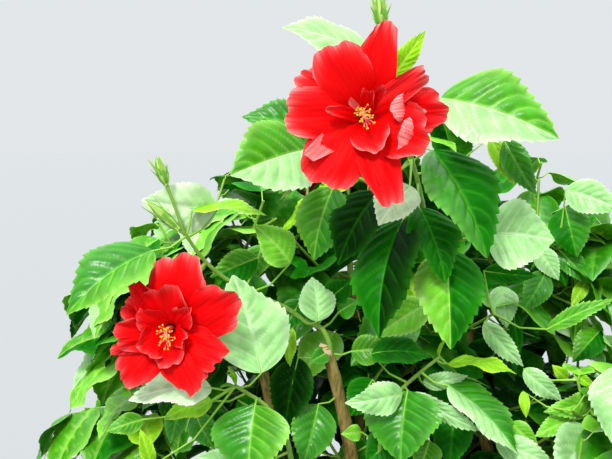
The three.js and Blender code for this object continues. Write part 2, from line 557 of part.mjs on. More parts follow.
function growSpray(spray, seed) {
  const { tip, ends } = limbs[spray.limb];
  const outward = pointing(spray.bearing, OUTWARD_RISE);
  const line = leaderLine(spray, tip, ends, outward);
  const solids = [taperedSolid(line, SHOOT.foot, SHOOT.tip, SHOOT.sides, SHOOT.steps)];
  const leaves = [];
  if (spray.bloom) {
    let centre = spray.middle.clone().add(vector(0, 0, BLOOM.ruledLift));
    while (inSpace(along(centre, outward, BLOOM.room), spray.middle)) {
      centre = along(centre, outward, BLOOM.ruledStep);
    }
    const bloom = wholeOf(bloomSolid({
      centre, bearing: spray.bearing, rise: BLOOM.ruledRise, spin: BLOOM.turnEach * seed, rows: LEFT_PETALS,
      root: line.getPointAt(BLOOM.rootAt),
    }).subtract(swollenShoot(line, SHOOT.foot, SHOOT.tip, SHOOT.steps)));
    addPiece(spray.name.replace('spray', 'bloom'), bloom, petals);
    blockers.push(bloom);
  }
  const addLeaf = (onLine, own, at, turn, draw) => {
    const way = onLine.getTangentAt(Math.min(at / onLine.getLength(), 1));
    for (let i = 0; i < LEAF.tries; i += 1) {
      const row = ruledLeaf(way, outward, THREE.MathUtils.degToRad(turn + i * LEAF.tryTurn), draw);
      const geometry = leafOn(onLine, at, row);
      if (!geometryInSpace(geometry, spray.middle)) continue;
      const solid = solidOf(geometry);
      const others = solids.filter((other) => other !== own);
      if (touchesAny(solid, blockers) || crossesAny(solid, leaves) || crossesAny(solid, others)) continue;
      leaves.push(solid);
      return;
    }
  };
  for (let i = 0; i < TWIG.perSpray; i += 1) {
    const draw = seeded(seed * 100 + i + 1);
    const fraction = TWIG.first + (TWIG.last - TWIG.first) * i / (TWIG.perSpray - 1);
    const twigLine = twigFrom(line, fraction, i * GOLDEN_ANGLE + TWIG.turnSpread * draw(), draw(), spray);
    if (!twigLine) continue;
    const twig = taperedSolid(twigLine, TWIG.foot, TWIG.tip, TWIG.sides, TWIG.steps);
    if (touchesAny(twig, blockers)) continue;
    solids.push(twig);
    const length = twigLine.getLength();
    let count = 0;
    for (let at = length; at > TWIG.bareShare * length; at -= LEAF.spacing) {
      addLeaf(twigLine, twig, at, count * GOLDEN_ANGLE + LEAF.turnSpread * draw(), draw);
      count += 1;
    }
  }
  for (let i = 0; i < SHOOT.tipLeaves; i += 1) {
    const at = line.getLength() - SHOOT.tipSpacing * i;
    addLeaf(line, solids[0], at, i * GOLDEN_ANGLE, seeded(seed * 100 + 50 + i));
  }
  const whole = wholeOf(wasm.Manifold.union([...solids, ...leaves]));
  blockers.push(whole);
  addPiece(spray.name, whole, foliage);
}

// The leader runs from the limb's tip through the middle of its space.
function leaderLine(spray, tip, ends, outward) {
  const target = along(spray.middle, outward, spray.bloom ? SHOOT.flowerReach : SHOOT.reach);
  target.z += SHOOT.lift;
  const share = FITS.find((fit) => inSpace(tip.clone().lerp(target, fit), spray.middle, TWIG.clear));
  const end = tip.clone().lerp(target, share);
  const bend = tip.clone().lerp(end, SHOOT.bendAt).addScaledVector(ends, SHOOT.bend);
  return new THREE.CatmullRomCurve3([
    along(tip, ends, SHOOT.start), along(tip, ends, SHOOT.straight), bend, end]);
}

// A twig leaves the leader at the spread angle, and is as long as its space lets it be.
function twigFrom(line, fraction, turnDegrees, chance, spray) {
  const foot = line.getPointAt(fraction);
  const way = line.getTangentAt(fraction);
  const turn = THREE.MathUtils.degToRad(turnDegrees);
  const side = vector(0, 0, 1).cross(way).normalize();
  const above = way.clone().cross(side);
  const spread = THREE.MathUtils.degToRad(TWIG.spread);
  const direction = way.clone().multiplyScalar(Math.cos(spread))
    .addScaledVector(side, Math.sin(spread) * Math.cos(turn))
    .addScaledVector(above, Math.sin(spread) * Math.sin(turn));
  const reach = TWIG.length * (TWIG.shortest + TWIG.lengthSpread * chance);
  const endAt = (share) => along(foot, direction, reach * share).add(vector(0, 0, TWIG.rise * reach * share));
  const share = FITS.find((fit) => inSpace(endAt(fit), spray.middle, TWIG.clear));
  if (!share) return null;
  return new THREE.QuadraticBezierCurve3(foot, along(foot, direction, reach * share * 0.5), endAt(share));
}
SPRAYS.forEach((spray, index) => growSpray(spray, index + 1));

export default shrub;
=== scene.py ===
# Double red hibiscus, a garden shrub rooted in level ground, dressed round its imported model.
# Metres, +Z up, the front of the shrub at -Y. Sizes of the plant are written in millimetres.
import json
import math

import bpy
import numpy as np
from mathutils import Matrix, Vector, noise

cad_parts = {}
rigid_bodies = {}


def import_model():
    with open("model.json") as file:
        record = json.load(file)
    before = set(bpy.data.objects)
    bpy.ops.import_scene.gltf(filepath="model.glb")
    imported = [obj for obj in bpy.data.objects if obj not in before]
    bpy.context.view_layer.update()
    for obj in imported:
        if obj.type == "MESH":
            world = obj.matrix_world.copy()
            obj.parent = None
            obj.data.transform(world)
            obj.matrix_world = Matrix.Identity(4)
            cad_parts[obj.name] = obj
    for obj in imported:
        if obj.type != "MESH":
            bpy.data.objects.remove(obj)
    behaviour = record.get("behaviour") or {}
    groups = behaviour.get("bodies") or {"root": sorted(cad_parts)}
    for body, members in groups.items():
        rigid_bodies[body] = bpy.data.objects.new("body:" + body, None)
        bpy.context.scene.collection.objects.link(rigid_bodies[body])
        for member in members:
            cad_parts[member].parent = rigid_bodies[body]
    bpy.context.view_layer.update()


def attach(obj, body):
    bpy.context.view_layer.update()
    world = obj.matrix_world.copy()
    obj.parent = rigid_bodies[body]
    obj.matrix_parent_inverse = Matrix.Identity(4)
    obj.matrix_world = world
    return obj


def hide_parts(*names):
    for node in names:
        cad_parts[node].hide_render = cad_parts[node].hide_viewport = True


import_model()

# Trunk
# A short butt of living wood that leans a little and forks just above the ground. Its olive-brown
# bark is ribbed where the roots begin and cracks along the grain, and its foot is a flat cut.
MM = 0.001
TRUNK = {"height": 215, "lean": (10, -8), "upright": 0.35, "leaning": 0.7, "lean_share": 0.6,
         "foot_radius": 33, "neck_radius": 21, "top_radius": 16, "flare_height": 60,
         "flare_fall": 3, "ribs": 5, "rib_depth": 0.09, "rib_fall": 2, "rings": 66, "sides": 64,
         "closing_from": 0.9, "smallest_top": 0.02}
BARK = {"crack": 1.3, "crack_slope": 5, "crack_across": 7, "crack_along": 30, "ground": "#7E6A2C",
        "crest": "#A8904E", "crack_colour": "#463A1A", "lichen": "#788450"}


def pointing(bearing, rise):
    """Unit vector at a compass bearing, counted from +X towards +Y, and a rise above level."""
    turn, lift = math.radians(bearing), math.radians(rise)
    level = math.cos(lift)
    return np.array([level * math.cos(turn), level * math.sin(turn), math.sin(lift)])


def unit(way):
    return way / np.linalg.norm(way)


def linear(hex_colour):
    """The linear colour of an sRGB hex value."""
    parts = [int(hex_colour[i:i + 2], 16) / 255 for i in (1, 3, 5)]
    return (*[p / 12.92 if p <= 0.04045 else ((p + 0.055) / 1.055) ** 2.4 for p in parts], 1.0)


class Limb:
    """A growing line from foot to tip, measured along its length, with a radius at each end."""

    def __init__(self, points, foot=1.0, tip=1.0):
        self.points = np.asarray(points, float)
        steps = np.linalg.norm(np.diff(self.points, axis=0), axis=1)
        self.run = np.concatenate([[0], np.cumsum(steps)])
        self.length = self.run[-1]
        self.foot, self.tip = foot, tip

    def at(self, share):
        distance = np.clip(share, 0, 1) * self.length
        return np.array([np.interp(distance, self.run, self.points[:, k]) for k in range(3)]).T

    def way(self, share):
        return unit(self.at(min(share + 0.01, 1)) - self.at(max(share - 0.01, 0)))

    def radius(self, share):
        return self.foot + (self.tip - self.foot) * share


def cubic(corners, samples=120):
    """Points along a cubic curve with these four corners."""
    t = np.linspace(0, 1, samples + 1)[:, None]
    a, b, c, d = (np.asarray(corner, float) for corner in corners)
    return (1 - t) ** 3 * a + 3 * (1 - t) ** 2 * t * b + 3 * (1 - t) * t ** 2 * c + t ** 3 * d


def grid_faces(rows, columns, first=0, ring=False):
    """Quads of a grid of that many rows and columns of points, closed round each row for a ring."""
    last = columns if ring else columns - 1
    return [(first + i * columns + j, first + i * columns + (j + 1) % columns,
             first + (i + 1) * columns + (j + 1) % columns, first + (i + 1) * columns + j)
            for i in range(rows - 1) for j in range(last)]


def new_piece(name, points, edges=(), faces=(), marks=()):
    """A piece from points in millimetres. Marks are named numbers or turns, one for each point."""
    mesh = bpy.data.meshes.new(name)
    mesh.from_pydata((np.asarray(points) * MM).tolist(), edges, faces)
    for label, values in dict(marks).items():
        values = np.asarray(values)
        whole, turns = values.dtype.kind == "i", values.ndim > 1
        kind = "INT" if whole else "FLOAT_VECTOR" if turns else "FLOAT"
        mark = mesh.attributes.new(label, kind, "POINT")
        mark.data.foreach_set("vector" if turns else "value",
                              values.astype(np.int32 if whole else np.float32).ravel())
    piece = bpy.data.objects.new(name, mesh)
    bpy.context.collection.objects.link(piece)
    return piece


def smooth_piece(name, points, faces, material, marks=()):
    piece = new_piece(name, points, (), faces, marks)
    piece.data.materials.append(material)
    piece.data.shade_smooth()
    return piece


def fitted(piece, slot, *stands_for):
    """Lets a piece ride on the shrub and hides the nodes that it stands for. The slot is not used.
    """
    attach(piece, "root")
    if stands_for:
        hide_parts(*stands_for)


def add(tree, kind, inputs=(), **settings):
    """Adds a node with its settings, and gives each named input a value or a node's output."""
    node = tree.nodes.new(kind)
    for label, value in settings.items():
        setattr(node, label, value)
    for label, value in dict(inputs).items():
        if isinstance(value, bpy.types.NodeSocket):
            tree.links.new(value, node.inputs[label])
        else:
            node.inputs[label].default_value = value
    return node


def finish_of(name):
    """An empty material of that name, with its node tree and its surface shader."""
    material = bpy.data.materials.new(name)
    material.use_nodes = True
    return material, material.node_tree, material.node_tree.nodes["Principled BSDF"]


# Hibiscus bark, dry and matt: olive-brown with paler crests, dark cracks along the grain and a
# little green lichen.
bark, tree, shader = finish_of("hibiscus_bark")
place = add(tree, "ShaderNodeTexCoord").outputs["Object"]
grain = add(tree, "ShaderNodeMapping", {"Vector": place, "Scale": (1, 1, 0.22)}).outputs["Vector"]
crack = add(tree, "ShaderNodeTexNoise", {
    "Vector": grain, "Scale": 1 / (4 * MM), "Detail": 6, "Roughness": 0.65, "Distortion": 0.6})
ramp = add(tree, "ShaderNodeValToRGB", {"Fac": crack.outputs["Fac"]})
ramp.color_ramp.elements[0].position = 0.34
ramp.color_ramp.elements[0].color = linear(BARK["crack_colour"])
ramp.color_ramp.elements[1].position = 0.62
ramp.color_ramp.elements[1].color = linear(BARK["crest"])
ramp.color_ramp.elements.new(0.47).color = linear(BARK["ground"])
patches = add(tree, "ShaderNodeTexNoise", {"Vector": place, "Scale": 1 / (38 * MM), "Detail": 3})
lichen = add(tree, "ShaderNodeMapRange", {
    "Value": patches.outputs["Fac"], "From Min": 0.52, "From Max": 0.68, "To Max": 0.4})
colour = add(tree, "ShaderNodeMix", {
    "Factor": lichen.outputs["Result"], "A": ramp.outputs["Color"], "B": linear(BARK["lichen"])},
    data_type="RGBA")
tree.links.new(colour.outputs["Result"], shader.inputs["Base Color"])
bump = add(tree, "ShaderNodeBump", {
    "Height": crack.outputs["Fac"], "Strength": 0.5, "Distance": 0.6 * MM})
tree.links.new(bump.outputs["Normal"], shader.inputs["Normal"])
shader.inputs["Roughness"].default_value = 0.85

height = TRUNK["height"]
lean = np.array([*TRUNK["lean"], 0.0])
limbs = {"trunk": Limb(cubic([
    (0, 0, 0), (0, 0, TRUNK["upright"] * height),
    TRUNK["lean_share"] * lean + (0, 0, TRUNK["leaning"] * height), lean + (0, 0, height)]))}


def trunk_radius(share, turn):
    up = share * TRUNK["height"] / TRUNK["flare_height"]
    flare = (TRUNK["foot_radius"] - TRUNK["neck_radius"]) * math.exp(-TRUNK["flare_fall"] * up)
    body = TRUNK["neck_radius"] + (TRUNK["top_radius"] - TRUNK["neck_radius"]) * share
    rib = TRUNK["rib_depth"] * math.exp(-TRUNK["rib_fall"] * up) * math.cos(TRUNK["ribs"] * turn)
    return (body + flare) * (1 + rib)


def crack_at(point):
    """Depth of the bark's cracks at a point: narrow valleys that run along the grain."""
    across, lengthwise = BARK["crack_across"], BARK["crack_along"]
    value = noise.noise(Vector((point[0] / across, point[1] / across, point[2] / lengthwise)))
    return BARK["crack"] * max(0, 1 - BARK["crack_slope"] * abs(value))


points = []
for ring in range(TRUNK["rings"] + 1):
    share = ring / TRUNK["rings"]
    centre = limbs["trunk"].at(share)
    closing = max(0, (share - TRUNK["closing_from"]) / (1 - TRUNK["closing_from"]))
    for side in range(TRUNK["sides"]):
        turn = 2 * math.pi * side / TRUNK["sides"]
        out = np.array([math.cos(turn), math.sin(turn), 0])
        radius = trunk_radius(share, turn) * math.sqrt(max(1 - closing ** 2, TRUNK["smallest_top"]))
        radius -= crack_at(centre + out * radius)
        points.append(centre + out * radius)
faces = grid_faces(TRUNK["rings"] + 1, TRUNK["sides"], ring=True)
faces.append(tuple(reversed(range(TRUNK["sides"]))))
faces.append(tuple(range(len(points) - TRUNK["sides"], len(points))))
fitted(smooth_piece("trunk_bark", points, faces, bark), "bark", "trunk")

# Stems and boughs
# Six upright stems leave the trunk and carry the boughs, each one tapering limb of living wood with
# leaf scars that stand a little proud, grown from the middle of the limb that bears it. The left
# stem was pruned above its green shoot.
STEM = {"foot": 11.5, "tip": 5.4, "sides": 20}
BOUGH = {"foot": 6.6, "tip": 3.8, "sides": 12}
LIMB = {"curve_out": 0.34, "curve_in": 0.36, "step": 5, "collar": 0.28, "collar_length": 20,
        "scar_every": 43, "scar": 0.1, "scar_width": 3.5, "relief": 0.5, "relief_size": 6,
        "round_end": 0.55, "cut_end": 0.92}
STEMS = [
    ("stem_left", 0.50, (250, 42), (-57, -77, 1068), (205, 72)),
    ("stem_right", 0.60, (352, 40), (68, -6, 1070), (205, 68)),
    ("stem_back", 0.55, (105, 48), (-25, 78, 1090), (110, 74)),
    ("stem_back_left", 0.80, (178, 42), (-128, 12, 1050), (170, 72)),
    ("stem_back_right", 0.90, (48, 50), (108, 72, 1065), (40, 72)),
    ("stem_front", 0.86, (305, 42), (150, -92, 880), (330, 62)),
]
SHOWN_BOUGHS = [
    ("near_left_bough", "stem_left", 0.74, (260, 35), (-86, -124, 970), (180, 82)),
    ("near_middle_bough", "stem_left", 0.66, (300, 40), (-14, -108, 962), (30, 82)),
]
# Sprays that grow by rule: bearing, distance out and height of the middle of each one's space,
# then the limb that bears it, with where its own bough leaves that limb if it has one.
SPRAYS = [
    ("top_back", 108, 110, 1190, "stem_back", None),
    ("top_left", 178, 185, 1130, "stem_back_left", None),
    ("top_right", 30, 180, 1140, "stem_back_right", None),
    ("upper_front_right", 328, 255, 955, "stem_front", None),
    ("upper_right", 28, 265, 930, "stem_back_right", 0.62),
    ("upper_back", 88, 265, 950, "stem_back", 0.58),
    ("upper_left", 150, 270, 930, "stem_back_left", 0.6),
    ("middle_right", 0, 290, 720, "stem_right", 0.36),
    ("middle_back_right", 58, 290, 740, "stem_back_right", 0.38),
    ("middle_back_left", 120, 290, 720, "stem_back", 0.36),
    ("middle_left", 182, 290, 740, "stem_back_left", 0.38),
    ("middle_front_left", 238, 285, 800, "stem_left", 0.46),
    ("middle_front", 292, 285, 770, "stem_front", 0.42),
    ("low_right", 28, 225, 520, "stem_back_right", 0.17),
    ("low_back", 100, 225, 510, "stem_back", 0.17),
    ("low_left", 205, 225, 530, "stem_left", 0.17),
    ("low_front", 300, 225, 520, "stem_front", 0.17),
]
SEAT = {"inward": 80, "below": 75, "leaves": 25, "ends": 58}


def geometry_tree(name, sizes):
    """A tree of geometry nodes with a mesh input and the named inputs, and its two end nodes."""
    tree = bpy.data.node_groups.new(name, "GeometryNodeTree")
    tree.interface.new_socket("Geometry", in_out="INPUT", socket_type="NodeSocketGeometry")
    for label, kind in sizes.items():
        tree.interface.new_socket(label, in_out="INPUT", socket_type=kind)
    tree.interface.new_socket("Geometry", in_out="OUTPUT", socket_type="NodeSocketGeometry")
    return tree, add(tree, "NodeGroupInput").outputs, add(tree, "NodeGroupOutput")


def grown(piece, tree, values):
    """Replaces a piece's mesh by what the tree makes of it, and removes the modifier again."""
    modifier = piece.modifiers.new(tree.name, "NODES")
    modifier.node_group = tree
    for item in tree.interface.items_tree:
        if item.in_out == "INPUT" and item.name in values:
            modifier[item.identifier] = values[item.name]
    depsgraph = bpy.context.evaluated_depsgraph_get()
    made = bpy.data.meshes.new_from_object(piece.evaluated_get(depsgraph), depsgraph=depsgraph)
    piece.modifiers.clear()
    piece.data = made
    return piece


# Sweeps a round skin along every chain of edges, as thick as the chain's own radius says, and
# raises a fine relief on it.
skin_tree, sizes, end = geometry_tree("skin_along_chains", {
    "Sides": "NodeSocketInt", "Relief": "NodeSocketFloat", "Relief size": "NodeSocketFloat",
    "Finish": "NodeSocketMaterial"})
line = add(skin_tree, "GeometryNodeMeshToCurve", {"Mesh": sizes["Geometry"]})
thickness = add(skin_tree, "GeometryNodeInputNamedAttribute", {"Name": "thickness"},
                data_type="FLOAT")
sized = add(skin_tree, "GeometryNodeSetCurveRadius", {
    "Curve": line.outputs["Curve"], "Radius": thickness.outputs["Attribute"]})
ring = add(skin_tree, "GeometryNodeCurvePrimitiveCircle", {
    "Resolution": sizes["Sides"], "Radius": 1.0})
skin = add(skin_tree, "GeometryNodeCurveToMesh", {
    "Curve": sized.outputs["Curve"], "Profile Curve": ring.outputs["Curve"], "Fill Caps": True})
if "Scale" in skin.inputs:
    skin_tree.links.new(thickness.outputs["Attribute"], skin.inputs["Scale"])
spot = add(skin_tree, "GeometryNodeInputPosition")
stretched = add(skin_tree, "ShaderNodeVectorMath", {0: spot.outputs["Position"], 1: (1, 1, 0.3)},
                operation="MULTIPLY")
fineness = add(skin_tree, "ShaderNodeMath", {0: 1.0, 1: sizes["Relief size"]}, operation="DIVIDE")
wrinkle = add(skin_tree, "ShaderNodeTexNoise", {
    "Vector": stretched.outputs["Vector"], "Scale": fineness.outputs["Value"], "Detail": 3})
centred = add(skin_tree, "ShaderNodeMath", {0: wrinkle.outputs["Fac"], 1: 0.5},
              operation="SUBTRACT")
deep = add(skin_tree, "ShaderNodeMath", {0: centred.outputs["Value"], 1: sizes["Relief"]},
           operation="MULTIPLY")
outward = add(skin_tree, "GeometryNodeInputNormal")
push = add(skin_tree, "ShaderNodeVectorMath", {
    0: outward.outputs["Normal"], "Scale": deep.outputs["Value"]}, operation="SCALE")
raised = add(skin_tree, "GeometryNodeSetPosition", {
    "Geometry": skin.outputs["Mesh"], "Offset": push.outputs["Vector"]})
smooth = add(skin_tree, "GeometryNodeSetShadeSmooth", {"Geometry": raised.outputs["Geometry"]})
single = add(skin_tree, "GeometryNodeRealizeInstances", {"Geometry": smooth.outputs["Geometry"]})
finished = add(skin_tree, "GeometryNodeSetMaterial", {
    "Geometry": single.outputs["Geometry"], "Material": sizes["Finish"]})
skin_tree.links.new(finished.outputs["Geometry"], end.inputs["Geometry"])


def skinned(name, chains, sides, material, relief=0.0, relief_size=6.0):
    """One piece with a round skin along each chain of points, as thick as the chain's radii say."""
    points = np.concatenate([points for points, _ in chains])
    radii = np.concatenate([radii for _, radii in chains]) * MM
    ends = set(np.cumsum([len(points) for points, _ in chains]))
    edges = [(k, k + 1) for k in range(len(points) - 1) if k + 1 not in ends]
    return grown(new_piece(name, points, edges, marks={"thickness": radii}), skin_tree, {
        "Sides": sides, "Relief": relief * MM, "Relief size": relief_size * MM, "Finish": material})


def grow_limb(name, parent, share, leaves, tip, ends, form):
    foot = limbs[parent].at(share)
    tip = np.asarray(tip, float)
    leaves, ends = pointing(*leaves), pointing(*ends)
    span = np.linalg.norm(tip - foot)
    line = cubic([foot, foot + leaves * span * LIMB["curve_out"],
                  tip - ends * span * LIMB["curve_in"], tip])
    limbs[name] = Limb(line, form["foot"], form["tip"])
    limbs[name].ends = ends


def woody_chain(limb):
    """The chain of a woody limb, thicker at its collar and leaf scars, with a rounded end."""
    count = int(limb.length / LIMB["step"])
    share = np.linspace(0, 1, count + 1)
    run = share * limb.length
    collar = 1 + LIMB["collar"] * np.exp(-run / LIMB["collar_length"])
    from_scar = (run % LIMB["scar_every"]) - LIMB["scar_every"] / 2
    scar = 1 + LIMB["scar"] * np.exp(-(from_scar / LIMB["scar_width"]) ** 2)
    radii = limb.radius(share) * collar * scar
    radii[-1] *= LIMB["cut_end"] if limb is limbs["stem_left"] else LIMB["round_end"]
    return limb.at(share), radii


for name, share, leaves, tip, ends in STEMS:
    grow_limb(name, "trunk", share, leaves, tip, ends, STEM)
for name, parent, share, leaves, tip, ends in SHOWN_BOUGHS:
    grow_limb(name, parent, share, leaves, tip, ends, BOUGH)
for name, bearing, out, level, parent, share in SPRAYS:
    if share:
        seat = pointing(bearing, 0) * (out - SEAT["inward"]) + (0, 0, level - SEAT["below"])
        leaves, ends = (bearing, SEAT["leaves"]), (bearing, SEAT["ends"])
        grow_limb(name + "_bough", parent, share, leaves, seat, ends, BOUGH)
stem_names = [row[0] for row in STEMS]
bough_names = [name for name in limbs if name.endswith("_bough")]
for label, names, form in (("stem_bark", stem_names, STEM), ("bough_bark", bough_names, BOUGH)):
    wood = skinned(label, [woody_chain(limbs[name]) for name in names], form["sides"], bark,
                   LIMB["relief"], LIMB["relief_size"])
    fitted(wood, "bark", *names)

# Bare wood of the pruning cut, dry, pale and fibrous, with a ragged, slanting edge.
cut_wood, tree, shader = finish_of("pruned_wood")
place = add(tree, "ShaderNodeTexCoord").outputs["Object"]
fibres = add(tree, "ShaderNodeTexNoise", {"Vector": place, "Scale": 1 / (1.5 * MM), "Detail": 4})
colour = add(tree, "ShaderNodeMix", {
    "Factor": fibres.outputs["Fac"], "A": linear("#A98A58"), "B": linear("#E2CFA4")},
    data_type="RGBA")
tree.links.new(colour.outputs["Result"], shader.inputs["Base Color"])
shader.inputs["Roughness"].default_value = 0.9
CUT = {"rings": 4, "sides": 22, "radius": 5.6, "slant": 2.5, "ragged": 1.3, "proud": 0.4,
       "skirt": 7, "narrowing": 0.06}
top, upward = limbs["stem_left"].points[-1], limbs["stem_left"].ends
aside = unit(np.cross(upward, (0.2, 1, 0)))
ahead = np.cross(upward, aside)
points = [top + upward * CUT["proud"]]
for ring in range(1, CUT["rings"] + 1):
    share = ring / CUT["rings"]
    for side in range(CUT["sides"]):
        turn = 2 * math.pi * side / CUT["sides"]
        out = aside * math.cos(turn) + ahead * math.sin(turn)
        lift = CUT["slant"] * math.cos(turn) + CUT["ragged"] * math.sin(5 * side + 2 * ring)
        lift = lift * share ** 3 + CUT["proud"]
        points.append(top + out * CUT["radius"] * share + upward * lift)
points.extend([point - upward * CUT["skirt"] + (top - point) * CUT["narrowing"]
               for point in points[-CUT["sides"]:]])
faces = [(0, 1 + k, 1 + (k + 1) % CUT["sides"]) for k in range(CUT["sides"])]
faces += grid_faces(CUT["rings"] + 1, CUT["sides"], 1, ring=True)
fitted(smooth_piece("pruned_end", points, faces, cut_wood), "bark")

# Green shoots
# The youngest wood: each limb ends in a green leader, and twigs leave it round about by the golden
# angle. The sprays at the front follow the photograph, and the others grow by the shrub's own rule,
# as do the fine twigs that fill the crown's inside from the old stems.
CROWN = {"radius": 400, "widest": 720, "top": 1385, "bottom": 300, "roundness": 2.3}
SHOOT = {"foot": 3.7, "tip": 2.2, "start": -3, "straight": 20, "reach": 45, "flower_reach": -15,
         "lift": 25, "bend_at": 0.55, "bend": 10, "shown_foot": 2.5, "shown_tip": 1.5,
         "shown_straight": 22, "flank_start": -12, "flank": (4.4, -2.0, -1),
         "step": 8, "sides": 10, "relief": 0.3, "relief_size": 5}
TWIG = {"foot": 1.9, "tip": 1.2, "per_spray": 8, "length": 125, "rise": 0.12, "spread": 69,
        "turn_spread": 40, "first": 0.1, "last": 0.88, "shortest": 0.85, "length_spread": 0.3,
        "clear": 22, "side_twigs": (0.42, 0.7), "side_length": 66, "step": 14, "sides": 6}
INNER_TWIG = {"per_stem": 22, "first": 0.34, "last": 0.99, "length": 118, "seed": 7000,
              "front": -62, "below": 860}
# A leader or twig that doesn't fit its space at full reach tries these shares of it in turn.
SHORTER = np.arange(1, 0.35, -0.1)
GOLDEN_ANGLE = 137.5
OUTWARD_RISE = 25
FLOWERING = ("top_back", "upper_back", "middle_right", "middle_left")
SHOWN_MIDDLES = {"upper_flowering": (5, -115, 1225), "left_flowering": (-140, -120, 1150),
                 "near_left_leafy": (-135, -150, 1035), "near_middle_leafy": (30, -130, 1040)}
SHOWN_SHOOTS = {
    "upper": ("stem_right", [(42, -60, 1124), (30, -93, 1172), (19, -113, 1212), (7, -125, 1250),
                             (-4, -127, 1293), (-13, -127, 1324)]),
    "left": ("stem_left", [(-71, -81, 1090), (-90, -83, 1104), (-113, -91, 1117),
                           (-138, -109, 1134), (-158, -121, 1154), (-173, -131, 1179)]),
    "near_left": ("near_left_bough", [(-94, -125, 1010), (-109, -128, 1033), (-122, -132, 1044),
                                      (-134, -135, 1053)]),
    "near_middle": ("near_middle_bough", [(-7, -104, 1000), (5, -103, 1034), (25, -96, 1051),
                                          (44, -88, 1063)]),
}
SHOWN_TWIGS = {
    "left_twig": [(21, -110, 1203), (-9, -106, 1212), (-43, -108, 1228), (-66, -114, 1244)],
    "right_twig": [(32, -89, 1165), (52, -99, 1168), (74, -108, 1174)],
}


def seeded(seed):
    """A repeatable run of numbers from 0 to 1."""
    state = [(seed * 2654435761 + 12345) % 4294967296]

    def draw():
        state[0] = (1664525 * state[0] + 1013904223) % 4294967296
        return state[0] / 4294967296
    return draw


def through(points, samples=24):
    """Points along a smooth curve through these ones, which doesn't overshoot where they crowd."""
    knots = [np.asarray(point, float) for point in points]
    knots = [2 * knots[0] - knots[1], *knots, 2 * knots[-1] - knots[-2]]
    made = []
    for a, b, c, d in zip(knots, knots[1:], knots[2:], knots[3:]):
        first, step, last = (math.sqrt(np.linalg.norm(q - p)) for p, q in ((a, b), (b, c), (c, d)))
        leaving = ((b - a) / first - (c - a) / (first + step) + (c - b) / step) * step
        coming = ((c - b) / step - (d - b) / (step + last) + (d - c) / last) * step
        t = np.linspace(0, 1, samples, endpoint=False)[:, None]
        made.append(b + leaving * t + (3 * (c - b) - 2 * leaving - coming) * t ** 2
                    + (2 * (b - c) + leaving + coming) * t ** 3)
    return np.concatenate([*made, [knots[-2]]])


def crown_reach(point):
    """How far the crown goes up or down from its widest level, on the side of a point."""
    if point[2] > CROWN["widest"]:
        return CROWN["top"] - CROWN["widest"]
    return CROWN["widest"] - CROWN["bottom"]


def crown_radius(level):
    """The crown's radius at a level from 0, the widest one, to 1, its top or bottom."""
    return CROWN["radius"] * (1 - level ** CROWN["roundness"])


def in_crown(point, clear=0):
    level = abs(point[2] - CROWN["widest"]) / (crown_reach(point) - clear)
    return level < 1 and math.hypot(point[0], point[1]) < crown_radius(level) - clear


middles = {row[0]: pointing(row[1], 0) * row[2] + (0, 0, row[3]) for row in SPRAYS}
middles.update({name: np.array(middle, float) for name, middle in SHOWN_MIDDLES.items()})


def in_space(point, own, clear, others=tuple(middles)):
    """Whether a point is in the crown and nearer to a spray's own middle than to the others'."""
    if not in_crown(point, clear):
        return False
    for other in others:
        if other != own:
            across = middles[other] - middles[own]
            half = np.linalg.norm(across) / 2
            if np.dot(point - middles[own], across) / (2 * half) >= half - clear:
                return False
    return True


def leader_line(name, bearing):
    limb = limbs[spray_limb[name]]
    tip, ends = limb.points[-1], limb.ends
    reach = SHOOT["flower_reach"] if name in FLOWERING else SHOOT["reach"]
    target = middles[name] + pointing(bearing, OUTWARD_RISE) * reach + (0, 0, SHOOT["lift"])
    for share in SHORTER:
        end = tip + (target - tip) * share
        if in_space(end, name, TWIG["clear"]):
            break
    bend = tip + (end - tip) * SHOOT["bend_at"] + ends * SHOOT["bend"]
    return Limb(through([tip + ends * SHOOT["start"], tip + ends * SHOOT["straight"], bend, end]),
                SHOOT["foot"], SHOOT["tip"])


def twig_from(parent, share, turn, reach, fits):
    """A twig that leaves its parent at the spread angle, as long as the room that it has."""
    foot, way = parent.at(share), parent.way(share)
    side = unit(np.cross((0, 0, 1), way))
    above = np.cross(way, side)
    spread, turn = math.radians(TWIG["spread"]), math.radians(turn)
    direction = (way * math.cos(spread) + side * math.sin(spread) * math.cos(turn)
                 + above * math.sin(spread) * math.sin(turn))
    for share in SHORTER:
        end = foot + direction * reach * share + (0, 0, TWIG["rise"] * reach * share)
        if fits(end, TWIG["clear"] / 2):
            middle = foot + direction * reach * share / 2
            t = np.linspace(0, 1, 9)[:, None]
            return Limb((1 - t) ** 2 * foot + 2 * t * (1 - t) * middle + t * t * end,
                        TWIG["foot"], TWIG["tip"])
    return None


def twig_reach(full, draw):
    return full * (TWIG["shortest"] + TWIG["length_spread"] * draw())


def keeps_to(own):
    """The test of a spray: whether a point is in its own space."""
    return lambda point, clear: in_space(point, own, clear)


def behind_front(point, clear):
    """The test of the twigs on old wood: inside the crown, and behind the leaves of the front."""
    behind = point[1] > INNER_TWIG["front"] or point[2] < INNER_TWIG["below"]
    return in_crown(point, clear) and behind


shoots = {}
for name, (limb, way) in SHOWN_SHOOTS.items():
    tip, ends = limbs[limb].points[-1], limbs[limb].ends
    start = [tip + ends * SHOOT["start"], tip + ends * SHOOT["shown_straight"]]
    if name == "left":
        start = [tip + ends * SHOOT["flank_start"], tip + SHOOT["flank"], start[1]]
    shoots[name] = Limb(through([*start, *way]), SHOOT["shown_foot"], SHOOT["shown_tip"])
for name, way in SHOWN_TWIGS.items():
    shoots[name] = Limb(through(way), TWIG["foot"], TWIG["tip"])

